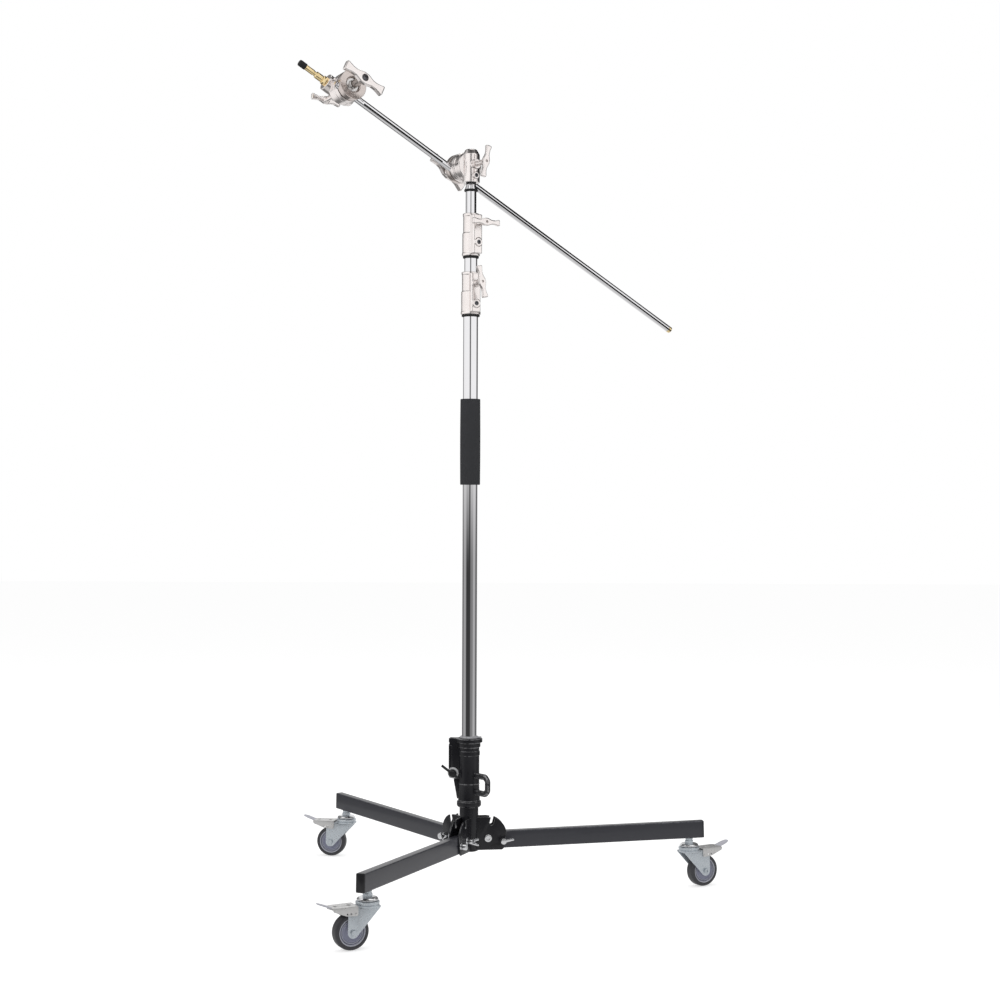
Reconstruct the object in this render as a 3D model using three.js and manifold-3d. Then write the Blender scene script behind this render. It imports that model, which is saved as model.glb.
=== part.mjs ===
// Roller stand for lights: three folding legs on braked casters, a clamped column of
// three telescoping tubes, and a boom arm held between two grip heads.
// Millimetres, +Z up. It is built round the column's axis and moved to its middle at the end.
import * as THREE from 'three';
import { mergeVertices } from 'three/addons/utils/BufferGeometryUtils.js';
import Module from 'manifold-3d';

const wasm = await Module();
wasm.setup();

// Fits and cutting tools
const seatGap = 0.3; // left between pieces that rest on each other
const boreGap = 0.4; // radial room round a shaft in its hole
const slideGap = 0.5; // each side of a leg between its plates
const overrun = 6; // how far a cutter runs past what it cuts
const roundSides = 20; // facets of a large round piece
const smallSides = 12; // facets of a small one
const hexSides = 6;
const arcSteps = 5; // half the facets of an arc in an outline

// Column tubes
const lowerRiserR = 17.5;
const midRiserR = 15;
const topRiserR = 12.5;
const riserWall = 1.8;
const lowerRiserLength = 1191.5;
const midRiserLength = 1150;
const topRiserLength = 1120;
const foamLength = 200;
const foamWall = 6.2;
const foamDrop = 249.5; // from the top of the lower riser down to the grip

// Folding base
const legAzimuths = { right: 7.85, front: -112.15, back: 127.85 }; // degrees from +X
const legRise = 1.5; // degrees that a leg climbs to its tip
const legTipR = 561; // column axis to the end of a leg
const legHeight = 40;
const legWidth = 20;
const legWall = 2;
const legDrop = 5.5; // leg's middle below its pivot
const legInnerEnd = 13; // leg's inner end behind its pivot
const pivotR = 43.5; // column axis to a leg's pivot
const pivotZ = 130;
const foldAngle = 86; // degrees from the floor position to the folded one
const plugFlange = 3;

// Casters
const casterInset = 34; // end of a leg back to its caster's swivel axis
const casterR = legTipR - casterInset; // column axis to a caster's swivel axis
const wheelR = 37.5;
const wheelWidth = 25;
const trail = 38; // swivel axis to wheel axle
const casterTurns = { right: 29, front: -152, back: 170 }; // trail's azimuth, degrees

// Boom arm and grip heads
const armR = 8;
const armWall = 1.5;
const armLength = 1084;
const armAzimuth = 33.3; // degrees: the low end points away to the right
const armPitch = 27.4; // degrees that the arm falls towards its tip
const armBehindHead = 30; // arm's end past the upper head's screw
const headSpacing = 334; // from one head's screw to the other along the arm
const spigotR = 8;

// A geometry as a solid, after an optional matrix
function solid(geometry, matrix) {
  const bare = new THREE.BufferGeometry();
  const loose = geometry.index ? geometry.toNonIndexed() : geometry;
  bare.setAttribute('position', loose.getAttribute('position').clone());
  if (matrix) bare.applyMatrix4(matrix);
  const merged = mergeVertices(bare, 1e-4);
  return new wasm.Manifold(new wasm.Mesh({
    numProp: 3,
    vertProperties: merged.attributes.position.array,
    triVerts: new Uint32Array(merged.index.array),
  }));
}

// Rigid placements, angles in degrees
const turn = THREE.MathUtils.degToRad;
const move = (x, y, z) => new THREE.Matrix4().makeTranslation(x, y, z);
const spinX = (deg) => new THREE.Matrix4().makeRotationX(turn(deg));
const spinY = (deg) => new THREE.Matrix4().makeRotationY(turn(deg));
const spinZ = (deg) => new THREE.Matrix4().makeRotationZ(turn(deg));
const chain = (...matrices) => matrices.reduce((a, b) => a.multiply(b), new THREE.Matrix4());

// A round bar along Z from z0 to z1
function bar(r, z0, z1, sides = roundSides, matrix) {
  const g = new THREE.CylinderGeometry(r, r, z1 - z0, sides).rotateX(Math.PI / 2);
  return solid(g.translate(0, 0, (z0 + z1) / 2), matrix);
}

// A round bar along X from x0 to x1, through (y, z)
const barX = (r, x0, x1, y, z, sides = smallSides) => bar(r, x0, x1, sides, chain(move(0, y, z), spinY(90)));

// A round bar along Y from y0 to y1, through (x, z)
const barY = (r, y0, y1, x, z, sides = smallSides) => bar(r, y0, y1, sides, chain(move(x, 0, z), spinX(-90)));

// A turned solid: [radius, z] points from the foot of its profile to its top
function turned(profile, sides = roundSides, matrix) {
  const points = profile.map(([r, z]) => new THREE.Vector2(r, z));
  return solid(new THREE.LatheGeometry(points, sides).rotateX(Math.PI / 2), matrix);
}

// A box between two corners
function box(low, high, matrix) {
  const size = high.map((h, i) => h - low[i]);
  const g = new THREE.BoxGeometry(...size);
  return solid(g.translate(...high.map((h, i) => (h + low[i]) / 2)), matrix);
}

// An outline in X and Z, as a plate from y0 to y1
function plateXZ(outline, y0, y1) {
  const g = new THREE.ExtrudeGeometry(outline, { depth: y1 - y0, bevelEnabled: false, curveSegments: arcSteps });
  return solid(g.rotateX(Math.PI / 2).translate(0, y1, 0));
}

// An outline of straight lines through [x, y] points
const outlineOf = (points) => new THREE.Shape(points.map(([x, y]) => new THREE.Vector2(x, y)));

// Finishes
const finish = (color, metalness, roughness) => new THREE.MeshStandardMaterial({ color, metalness, roughness });
const finishes = {
  blackCasting: finish(0x222326, 0.2, 0.55),
  legCoat: finish(0x3c3d44, 0.2, 0.5),
  blackPlastic: finish(0x1d1d20, 0, 0.6),
  chrome: finish(0xd9d9dc, 1, 0.12),
  satinCast: finish(0xd8d3cf, 0.8, 0.35),
  zinc: finish(0xb4bdc6, 0.8, 0.35),
  wheelGrey: finish(0x45464d, 0, 0.6),
  foam: finish(0x3c3d42, 0, 0.95),
  rubber: finish(0x1b1b1d, 0, 0.8),
  brass: finish(0xc9a64e, 0.9, 0.3),
  paleRing: finish(0xc4c4c8, 0.3, 0.4),
};

const stand = new THREE.Group();

// Adds a solid to a group as a named mesh
function piece(name, shape, material, parent) {
  const m = shape.getMesh();
  const g = new THREE.BufferGeometry();
  g.setAttribute('position', new THREE.BufferAttribute(new Float32Array(m.vertProperties), 3));
  g.setIndex(new THREE.BufferAttribute(new Uint32Array(m.triVerts), 1));
  g.computeVertexNormals();
  const mesh = new THREE.Mesh(g, material);
  mesh.name = name;
  parent.add(mesh);
  return mesh;
}

// A group placed in its parent by a matrix
function place(parent, matrix) {
  const group = new THREE.Group();
  group.applyMatrix4(matrix);
  parent.add(group);
  return group;
}

// Hub: a neck with three pairs of sector plates for the legs
const neckR = 22;
const neckBore = 17;
const neckBottom = 100;
const neckTop = 202.7;
const plateThick = 3;
const plateInside = legWidth / 2 + slideGap; // leg's middle plane to a plate's inner face
const plateOutside = plateInside + plateThick;
const plateFoot = 102.4;
const plateTop = 179.4;
const plateInnerR = 12; // plates run into the neck
const plateToeR = 77;
const plateHeelR = 81;
const plateHeelZ = 106;
const plateArc = { r: 44.5, z: 136.5, radius: 43, from: 10, to: 66 }; // outer edge of a plate
const plateFlatR = 42; // end of the flat top edge
const pinReach = 35.3; // pivot to lock pin
const pinAngle = -9.5; // degrees below the horizontal at rest
const pinR = 3.6;
const pinPlay = 0.6;
const pivotBoltR = 5;
const onPinCircle = (deg) => [
  pivotR + pinReach * Math.cos(turn(deg)),
  pivotZ + pinReach * Math.sin(turn(deg)),
];

function hubPlateOutline() {
  const outline = new THREE.Shape();
  outline.moveTo(plateInnerR, plateFoot);
  outline.lineTo(plateToeR, plateFoot);
  outline.lineTo(plateHeelR, plateHeelZ);
  outline.absarc(plateArc.r, plateArc.z, plateArc.radius, turn(plateArc.from), turn(plateArc.to), false);
  outline.lineTo(plateFlatR, plateTop);
  outline.lineTo(plateInnerR, plateTop);
  return outline;
}

// A pin slot that runs from a seat on the pin circle out through the plate's edge
function pinSlot(deg) {
  const [r, z] = onPinCircle(deg);
  const outward = chain(move(r, 0, z), spinY(-deg));
  const halfWidth = pinR + pinPlay;
  const reach = plateArc.radius;
  return bar(halfWidth, -plateOutside - overrun, plateOutside + overrun, smallSides,
    chain(move(r, 0, z), spinX(90)))
    .add(box([0, -plateOutside - overrun, -halfWidth], [reach, plateOutside + overrun, halfWidth], outward));
}

// Keeper on a pair's far plate, in line with the lock pin: a flange round the slot, a neck and a round head
const keeperFlangeR = 7;
const keeperFlangeThick = 1.5;
const keeperNeckR = 4.8;
const keeperNeckLength = 4.5;
const keeperHeadR = 7.5;
const keeperHeadThick = 9;

function pinKeeper() {
  const [r, z] = onPinCircle(pinAngle);
  const neckFoot = plateOutside + keeperFlangeThick;
  const headFoot = neckFoot + keeperNeckLength;
  return barY(keeperFlangeR, plateOutside, neckFoot, r, z)
    .add(barY(keeperNeckR, plateOutside, headFoot + keeperHeadThick, r, z))
    .add(barY(keeperHeadR, headFoot, headFoot + keeperHeadThick, r, z));
}

function hub() {
  const outline = hubPlateOutline();
  let pair = plateXZ(outline, plateInside, plateOutside).add(plateXZ(outline, -plateOutside, -plateInside));
  pair = pair.subtract(pinSlot(pinAngle)).subtract(pinSlot(pinAngle + foldAngle)).add(pinKeeper());
  pair = pair.subtract(barY(pivotBoltR + boreGap, -plateOutside - overrun, plateOutside + overrun, pivotR, pivotZ));
  let shape = bar(neckR, neckBottom, neckTop);
  for (const azimuth of Object.values(legAzimuths)) shape = shape.add(pair.rotate([0, 0, azimuth]));
  return shape.subtract(bar(neckBore, neckBottom - overrun, neckTop + overrun));
}
const base = new THREE.Group();
stand.add(base);
piece('base_hub', hub(), finishes.blackCasting, base);

// Receiver: the casting that clamps the column, split at its ears
const earAzimuth = 170;
const receiverFoot = neckTop + seatGap;
const receiverFloor = 8;
const receiverBore = lowerRiserR + slideGap;
const drainR = 4;
const receiverBodyR = 24;
const receiverBulgeR = 28.5;
const receiverFlangeR = 31;
const receiverCollarR = 26.5;
const seamZ = 256;
const bandLow = 322;
const bandHigh = 333;
const bandProud = 1.2;
const collarLow = 341;
const flangeLow = 352;
const receiverTop = 362;
const seamStep = 1;
const bulgeChamfer = 3;
const bulgeTop = 218;
const earR = 47;
const earHalf = 9;
const earLow = 268;
const earHigh = 356;
const earInnerR = 20;
const splitWidth = 3;
const splitLow = 262;
const gussetHalf = 3;
const clampScrewR = 4;
const clampRadius = 36; // column axis to the clamp screw
const clampZ = 281;

function receiver() {
  let shape = turned([
    [0, receiverFoot],
    [receiverBulgeR - bulgeChamfer, receiverFoot],
    [receiverBulgeR, receiverFoot + bulgeChamfer],
    [receiverBulgeR, bulgeTop - bulgeChamfer],
    [receiverBulgeR - bulgeChamfer, bulgeTop],
    [receiverBodyR, seamZ],
    [receiverBodyR + seamStep, seamZ],
    [receiverBodyR, seamZ + seamStep],
    [receiverBodyR, bandLow],
    [receiverBodyR + bandProud, bandLow + bandProud],
    [receiverBodyR + bandProud, bandHigh - bandProud],
    [receiverBodyR, bandHigh],
    [receiverBodyR, collarLow],
    [receiverCollarR, collarLow + bandProud],
    [receiverCollarR, flangeLow],
    [receiverFlangeR, flangeLow + bandProud],
    [receiverFlangeR, receiverTop],
    [0, receiverTop],
  ]);
  const gusset = outlineOf([
    [receiverBodyR - bulgeChamfer, bulgeTop],
    [receiverBulgeR, bulgeTop + bulgeChamfer],
    [clampRadius, splitLow],
    [clampRadius, earLow + bulgeChamfer],
    [receiverBodyR - bulgeChamfer, earLow + bulgeChamfer],
  ]);
  const ears = box([earInnerR, -earHalf, earLow], [earR, earHalf, earHigh])
    .add(box([earInnerR, -earHalf, earHigh - seatGap], [earR, earHalf, receiverTop]))
    .add(plateXZ(gusset, -gussetHalf, gussetHalf));
  shape = shape.add(ears.rotate([0, 0, earAzimuth]));
  const split = box([0, -splitWidth / 2, splitLow], [earR + overrun, splitWidth / 2, receiverTop + overrun])
    .add(barY(clampScrewR + boreGap, -earHalf - overrun, earHalf + overrun, clampRadius, clampZ));
  return shape
    .subtract(bar(receiverBore, receiverFoot + receiverFloor, receiverTop + overrun))
    .subtract(bar(drainR, receiverFoot - overrun, receiverTop, smallSides))
    .subtract(split.rotate([0, 0, earAzimuth]));
}
piece('receiver', receiver(), finishes.blackCasting, base);

// Pale bush at the receiver's mouth
const bushHeight = 4.5;
const bushR = 22;
const bushLow = receiverTop + seatGap;
const bush = bar(bushR, bushLow, bushLow + bushHeight)
  .subtract(bar(receiverBore, bushLow - overrun, bushLow + bushHeight + overrun));
piece('bush_ring', bush, finishes.paleRing, base);

// Carrying handle: a round bar bent into a D, with its two feet on the receiver
const handleAzimuth = -50;
const handleBarR = 5.8;
const handleLow = 235.5;
const handleHigh = 278.5;
const handleReach = 69;
const handleCorner = 12;
const handleQuarters = 5; // a bar's section has twice as many sides
const handleSteps = 26; // sections along the bar

function carryingHandle() {
  const route = new THREE.CurvePath();
  const at = (r, z) => new THREE.Vector3(r, 0, z);
  const corner = (from, bend, to) => new THREE.QuadraticBezierCurve3(from, bend, to);
  const foot = receiverBodyR - handleBarR;
  const lowIn = at(handleReach - handleCorner, handleLow);
  const lowUp = at(handleReach, handleLow + handleCorner);
  const highUp = at(handleReach, handleHigh - handleCorner);
  const highIn = at(handleReach - handleCorner, handleHigh);
  route.add(new THREE.LineCurve3(at(foot, handleLow), lowIn));
  route.add(corner(lowIn, at(handleReach, handleLow), lowUp));
  route.add(new THREE.LineCurve3(lowUp, highUp));
  route.add(corner(highUp, at(handleReach, handleHigh), highIn));
  route.add(new THREE.LineCurve3(highIn, at(foot, handleHigh)));
  const section = new THREE.Shape().absarc(0, 0, handleBarR, 0, 2 * Math.PI);
  const g = new THREE.ExtrudeGeometry(section, {
    extrudePath: route,
    steps: handleSteps,
    curveSegments: handleQuarters,
  });
  const clearOfBody = turned([
    [0, bulgeTop],
    [receiverBulgeR - bulgeChamfer + seatGap, bulgeTop],
    [receiverBodyR + seatGap, seamZ - seatGap],
    [receiverBodyR + seamStep + seatGap, seamZ - seatGap],
    [receiverBodyR + seatGap, seamZ + seamStep + seatGap],
    [receiverBodyR + seatGap, bandLow - seatGap],
    [0, bandLow - seatGap],
  ]);
  return solid(g).rotate([0, 0, handleAzimuth]).subtract(clearOfBody);
}
piece('carry_handle', carryingHandle(), finishes.blackCasting, base);

// Clamp screw with its T bar, and the washer under its head
const clampNutThick = 3;
const clampNutHalf = 6;
const washerR = 13;
const washerThick = 2;
const knobHubR = 9.5;
const knobHubEnd = 26;
const knobBarR = 3;
const knobBarAt = 21;
const knobBarLong = 31;
const knobBarShort = 17;
const knobBarTilt = 36; // degrees above the horizontal
const clamp = place(base, chain(spinZ(earAzimuth), move(clampRadius, 0, clampZ)));
const washerFace = earHalf + seatGap;
const washer = barY(washerR, washerFace, washerFace + washerThick, 0, 0, roundSides)
  .subtract(barY(clampScrewR + boreGap, -overrun, knobHubEnd, 0, 0));
piece('clamp_washer', washer, finishes.chrome, clamp);
const hubFace = washerFace + washerThick + seatGap;
const clampNutFace = -earHalf - seatGap;
const clampNutEnd = clampNutFace - clampNutThick;
const tBar = bar(knobBarR, -knobBarShort, knobBarLong, smallSides,
  chain(move(0, knobBarAt, 0), spinY(90 - knobBarTilt)));
const clampKnob = barY(knobHubR, hubFace, knobHubEnd, 0, 0)
  .add(barY(clampScrewR, clampNutEnd, knobHubEnd, 0, 0))
  .add(barY(clampNutHalf, clampNutEnd, clampNutFace, 0, 0, hexSides))
  .add(tBar);
piece('clamp_knob', clampKnob, finishes.blackCasting, clamp);

// Legs: rectangular tubes with end plugs, pivot bolts and spring lock pins
const rise = Math.tan(turn(legRise));
const legMiddle = -legDrop;
const legEnd = (legTipR - pivotR) / Math.cos(turn(legRise)) - plugFlange; // end of the tube itself
const legUnder = (r) => pivotZ - (legDrop + legHeight / 2) / Math.cos(turn(legRise)) + (r - pivotR) * rise;
const stemR = 6;
const boltHeadR = 9;
const boltHeadThick = 4;
const boltSocketR = 4;
const boltSocketDepth = 2.5;
const nutWasherThick = 2;
const nutBossR = 5.6;
const nutBossLength = 13;
const nutWingLength = 28;
const nutWingHalf = 9;
const nutWingThick = 4;
const pinTravel = 9;
const pinHeadR = 6.8;
const pinHeadThick = 9;
const pinLeverLength = 22;
const pinLeverHalf = 2.6;
const pinLeverThick = 3;
const pinLeverTilt = 8; // degrees above the leg
const plugSpigot = 16;
const edgeRound = 2;

// A rectangle in Y and Z with rounded corners, drawn along the leg
function legSection(width, height, corner) {
  const [w, h] = [width / 2, height / 2];
  const s = new THREE.Shape();
  s.absarc(w - corner, h - corner, corner, 0, turn(90), false);
  s.absarc(corner - w, h - corner, corner, turn(90), turn(180), false);
  s.absarc(corner - w, corner - h, corner, turn(180), turn(270), false);
  s.absarc(w - corner, corner - h, corner, turn(270), turn(360), false);
  return s;
}

// That rectangle as a beam from x0 to x1
function beam(width, height, corner, x0, x1) {
  const cornerSteps = 1;
  const g = new THREE.ExtrudeGeometry(legSection(width, height, corner), {
    depth: x1 - x0,
    bevelEnabled: false,
    curveSegments: cornerSteps,
  });
  const along = new THREE.Matrix4().makeBasis(
    new THREE.Vector3(0, 1, 0), new THREE.Vector3(0, 0, 1), new THREE.Vector3(1, 0, 0));
  return solid(g, chain(move(x0, 0, legMiddle), along));
}

// The lock pin's seat, in the frame of the leg
const pinSeat = (() => {
  const angle = turn(pinAngle - legRise);
  return [pinReach * Math.cos(angle), pinReach * Math.sin(angle)];
})();

function legTube() {
  const hollow = beam(legWidth - 2 * legWall, legHeight - 2 * legWall, edgeRound / 2,
    -legInnerEnd - overrun, legEnd + overrun);
  const stemHole = bar(stemR + 2 * boreGap, -legHeight, 0, smallSides,
    chain(spinY(legRise), move(casterR - pivotR, 0, 0)));
  return beam(legWidth, legHeight, edgeRound, -legInnerEnd, legEnd)
    .subtract(hollow)
    .subtract(barY(pivotBoltR + boreGap, -legWidth, legWidth, 0, 0))
    .subtract(barY(pinR + pinPlay, -legWidth, legWidth, ...pinSeat))
    .subtract(stemHole);
}

function legPlug() {
  const inner = 2 * (legWall + seatGap);
  return beam(legWidth, legHeight, edgeRound, legEnd + seatGap, legEnd + plugFlange)
    .add(beam(legWidth - inner, legHeight - inner, edgeRound / 2, legEnd - plugSpigot, legEnd + plugFlange));
}

// Pivot bolt: a round head with a hexagon socket, and a wing nut on a washer at its far end
function pivotBolt() {
  const face = plateOutside + seatGap;
  const nutFoot = face + nutWasherThick;
  const nutEnd = nutFoot + nutBossLength;
  const wingTip = nutFoot + nutWingLength;
  const wings = plateXZ(outlineOf([
    [nutFoot, -nutBossR],
    [nutFoot + nutBossR, -nutBossR],
    [wingTip, -nutWingHalf],
    [wingTip, -nutWingHalf / 2],
    [nutEnd, 0],
    [wingTip, nutWingHalf / 2],
    [wingTip, nutWingHalf],
    [nutFoot + nutBossR, nutBossR],
    [nutFoot, nutBossR],
  ]), -nutWingThick / 2, nutWingThick / 2);
  return barY(pivotBoltR, -face - boltHeadThick, nutEnd - nutWasherThick, 0, 0)
    .add(barY(boltHeadR, -face - boltHeadThick, -face, 0, 0, roundSides))
    .add(barY(boltHeadR, face, nutFoot, 0, 0, roundSides))
    .add(barY(nutBossR, face, nutEnd, 0, 0))
    .add(wings.rotate([0, 0, 90]))
    .subtract(barY(boltSocketR, -face - boltHeadThick - overrun, -face - boltHeadThick + boltSocketDepth,
      0, 0, hexSides));
}

// Drawn out: its shank ends just outside the near plate, and it slides in by its travel
function lockPin() {
  const shankEnd = -plateOutside - seatGap;
  const headFace = shankEnd - pinTravel;
  const headEnd = headFace - pinHeadThick;
  const lever = box([0, headEnd, -pinLeverHalf], [pinLeverLength, headEnd + pinLeverThick, pinLeverHalf],
    spinY(-pinLeverTilt));
  return barY(pinR, headEnd, shankEnd, 0, 0)
    .add(barY(pinHeadR, headEnd, headFace, 0, 0))
    .add(lever)
    .add(barY(pinLeverHalf, headEnd, headEnd + pinLeverThick,
      pinLeverLength * Math.cos(turn(pinLeverTilt)), pinLeverLength * Math.sin(turn(pinLeverTilt))));
}

// Caster: stem and top cup on the leg; fork, axle, wheel and brake below the swivel
const cupTop = 104;
const cupR = 22.5;
const cupLow = 96.8;
const cupBevel = 3;
const ringLow = 88;
const ringR = 25;
const nutR = 10.5;
const nutHeight = 8;
const stemInside = 26; // stem's reach into the leg
const kingpinR = 5;
const forkPlateThick = 2.5;
const wheelSideGap = 1.5;
const forkInside = wheelWidth / 2 + wheelSideGap;
const forkOutside = forkInside + forkPlateThick;
const forkEyeR = 12;
const forkBackX = -23;
const forkBackZ = 84;
const forkRoofFront = 26;
const forkChinX = 49;
const forkChinZ = 73;
const axleR = 4;
const axleHeadR = 7;
const axleHeadThick = 4;
const tyreShoulder = 3.5;
const tyreInnerR = 28.5;
const wheelDiscR = 27;
const wheelDiscHalf = 8.5;
const wheelBossR = 12;
const brakeGap = 0.5;
const brakeThick = 2;
const brakeRoof = 91.5;
const brakeBackX = 28;
const brakeFrontX = 84;
const brakeSkirtZ = 70;
const brakeSkirtX = 56;
const brakeChinZ = 82;
const brakePivotX = 32;
const brakePivotZ = 76;
const brakeRivetR = 3;
const brakeHoleR = 4.5;
const brakeHoleXs = [42, 56, 71];
const shoeX = 60;
const shoeZ = 74;
const shoeHalfX = 4;
const tongueLength = 32;
const tongueHalf = 11;
const tongueRise = 20; // degrees
const tongueThick = 2.4;

// A tyre with rounded shoulders on a thinner disc, with a boss at the bore
function wheel() {
  const half = wheelWidth / 2;
  return turned([
    [axleR + boreGap, -half],
    [wheelBossR, -half],
    [wheelBossR, -wheelDiscHalf],
    [wheelDiscR, -wheelDiscHalf],
    [tyreInnerR, -half],
    [wheelR - tyreShoulder, -half],
    [wheelR, tyreShoulder - half],
    [wheelR, half - tyreShoulder],
    [wheelR - tyreShoulder, half],
    [tyreInnerR, half],
    [wheelDiscR, wheelDiscHalf],
    [wheelBossR, wheelDiscHalf],
    [wheelBossR, half],
    [axleR + boreGap, half],
    [axleR + boreGap, -half],
  ], roundSides, chain(move(trail, 0, wheelR), spinX(-90)));
}

function casterStem(shoulderTop) {
  return turned([
    [0, ringLow - forkPlateThick],
    [kingpinR, ringLow - forkPlateThick],
    [kingpinR, cupLow],
    [cupR, cupLow],
    [cupR, cupTop - cupBevel],
    [cupR - cupBevel, cupTop],
    [0, cupTop],
  ])
    .add(bar(nutR, cupTop - cupBevel, cupTop + nutHeight, hexSides))
    .add(bar(stemR + cupBevel, cupTop, shoulderTop, smallSides))
    .add(bar(stemR, cupTop, shoulderTop + stemInside, smallSides));
}

function forkSide() {
  const s = new THREE.Shape();
  s.moveTo(forkBackX, forkBackZ);
  const slope = Math.atan2(forkBackZ - wheelR, forkBackX - trail);
  const tangent = slope + Math.acos(forkEyeR / Math.hypot(forkBackX - trail, forkBackZ - wheelR));
  s.absarc(trail, wheelR, forkEyeR, tangent, 2 * Math.PI, false);
  s.lineTo(forkChinX, forkChinZ);
  s.lineTo(forkRoofFront, ringLow);
  s.lineTo(forkBackX, ringLow);
  return s;
}

function fork() {
  const side = forkSide();
  const roofSides = [forkBackX, -forkOutside, forkBackZ];
  let shape = plateXZ(side, forkInside, forkOutside).add(plateXZ(side, -forkOutside, -forkInside))
    .add(box(roofSides, [forkRoofFront, forkOutside, ringLow]))
    .add(bar(ringR, ringLow - forkPlateThick, cupLow - seatGap));
  shape = shape.subtract(bar(kingpinR + boreGap, ringLow - overrun, cupTop, smallSides));
  return shape.subtract(barY(axleR + boreGap, -forkOutside - overrun, forkOutside + overrun, trail, wheelR));
}

function casterAxle() {
  const face = forkOutside + seatGap;
  return barY(axleR, -face - axleHeadThick, face + axleHeadThick, trail, wheelR)
    .add(barY(axleHeadR, -face - axleHeadThick, -face, trail, wheelR, hexSides))
    .add(barY(axleHeadR, face, face + axleHeadThick, trail, wheelR, hexSides));
}

function brake() {
  const inside = forkOutside + brakeGap;
  const outside = inside + brakeThick;
  const under = brakeRoof - brakeThick;
  const shoeHalfY = forkInside - brakeThick;
  const skirt = outlineOf([
    [brakeBackX, under],
    [brakeBackX, brakeSkirtZ],
    [brakeSkirtX, brakeSkirtZ],
    [brakeFrontX, brakeChinZ],
    [brakeFrontX, brakeRoof],
    [brakeBackX, brakeRoof],
  ]);
  let shape = plateXZ(skirt, inside, outside).add(plateXZ(skirt, -outside, -inside))
    .add(box([brakeBackX, -outside, under], [brakeFrontX, outside, brakeRoof]))
    .add(box([shoeX - shoeHalfX, -shoeHalfY, shoeZ], [shoeX + shoeHalfX, shoeHalfY, brakeRoof]))
    .add(barY(brakeRivetR, outside - brakeThick, outside + brakeThick, brakePivotX, brakePivotZ))
    .add(barY(brakeRivetR, -outside - brakeThick, -outside + brakeThick, brakePivotX, brakePivotZ));
  for (const x of brakeHoleXs.filter((at) => Math.abs(at - shoeX) > shoeHalfX)) {
    shape = shape.subtract(bar(brakeHoleR, under - overrun / 2, brakeRoof + overrun, smallSides, move(x, 0, 0)));
  }
  const tongue = box([0, -tongueHalf, -tongueThick], [tongueLength - tongueHalf, tongueHalf, 0])
    .add(bar(tongueHalf, -tongueThick, 0, smallSides, move(tongueLength - tongueHalf, 0, 0)));
  return shape.add(tongue.transform(
    chain(move(brakeFrontX - tongueThick, 0, brakeRoof), spinY(-tongueRise)).elements));
}

for (const [side, azimuth] of Object.entries(legAzimuths)) {
  const plane = place(base, spinZ(azimuth));
  piece(`pivot_bolt_${side}`, pivotBolt(), finishes.zinc, place(plane, move(pivotR, 0, pivotZ)));
  const leg = place(plane, chain(move(pivotR, 0, pivotZ), spinY(-legRise)));
  piece(`leg_${side}`, legTube(), finishes.legCoat, leg);
  piece(`leg_plug_${side}`, legPlug(), finishes.blackPlastic, leg);
  piece(`lock_pin_${side}`, lockPin(), finishes.zinc, place(leg, move(pinSeat[0], 0, pinSeat[1])));
  const caster = place(plane, move(casterR, 0, 0));
  const shoulder = legUnder(casterR) - (stemR + cupBevel) * rise - seatGap;
  piece(`caster_stem_${side}`, casterStem(shoulder), finishes.zinc, caster);
  const swivel = place(caster, spinZ(casterTurns[side] - azimuth));
  piece(`caster_fork_${side}`, fork(), finishes.zinc, swivel);
  piece(`caster_axle_${side}`, casterAxle(), finishes.zinc, swivel);
  piece(`wheel_${side}`, wheel(), finishes.wheelGrey, swivel);
  piece(`brake_pedal_${side}`, brake(), finishes.zinc, swivel);
}

// Column: three tubes, a foam grip and the collars that clamp one tube on the next
const riserFoot = receiverFoot + receiverFloor + seatGap;
const lowerRiserTop = riserFoot + lowerRiserLength;
const tube = (r, z0, z1) => bar(r, z0, z1).subtract(bar(r - riserWall, z0 - overrun, z1 + overrun));
piece('lower_riser', tube(lowerRiserR, riserFoot, lowerRiserTop), finishes.chrome, stand);

const foamLow = lowerRiserTop - foamDrop - foamLength;
const foamRound = 4;
const foamInner = lowerRiserR + seatGap;
const foamOuter = lowerRiserR + foamWall;
const foamGrip = turned([
  [foamInner, foamLow],
  [foamOuter - foamRound, foamLow],
  [foamOuter, foamLow + foamRound],
  [foamOuter, foamLow + foamLength - foamRound],
  [foamOuter - foamRound, foamLow + foamLength],
  [foamInner, foamLow + foamLength],
  [foamInner, foamLow],
]);
piece('foam_grip', foamGrip, finishes.foam, stand);

// Handles of two sizes: a bar with flared ends on a screw, along +X from its seat
const tHandle = { half: 53, end: 12.5, neck: 7.5, hub: 13, thick: 13, hole: 7 };
const wing = { half: 37.5, end: 8, neck: 5, hub: 9, thick: 9, hole: 3.5, stem: 7 };
const flareShares = [0.3, 0.62]; // where the neck starts and ends along half the bar

function flaredBar(size, x0) {
  const { half, end, neck, hub } = size;
  const [neckFrom, neckTo] = flareShares.map((share) => share * half);
  const quarter = [[0, hub], [hub / 2, hub], [neckFrom + hub / 2, neck], [neckTo, neck], [half, end]];
  const mirror = (sx, sy, list) => list.map(([a, b]) => [sx * a, sy * b]);
  const outline = outlineOf([
    ...quarter,
    ...mirror(1, -1, [...quarter].reverse()),
    ...mirror(-1, -1, quarter.slice(1)),
    ...mirror(-1, 1, quarter.slice(1).reverse()),
  ]);
  const g = new THREE.ExtrudeGeometry(outline, { depth: size.thick, bevelEnabled: false });
  const acrossX = new THREE.Matrix4().makeBasis(
    new THREE.Vector3(0, 1, 0), new THREE.Vector3(0, 0, 1), new THREE.Vector3(1, 0, 0));
  const face = x0 + size.thick;
  return solid(g, chain(move(x0, 0, 0), acrossX))
    .subtract(barX(size.hole, face - size.thick / 2, face + overrun, 0, 0));
}

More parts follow.
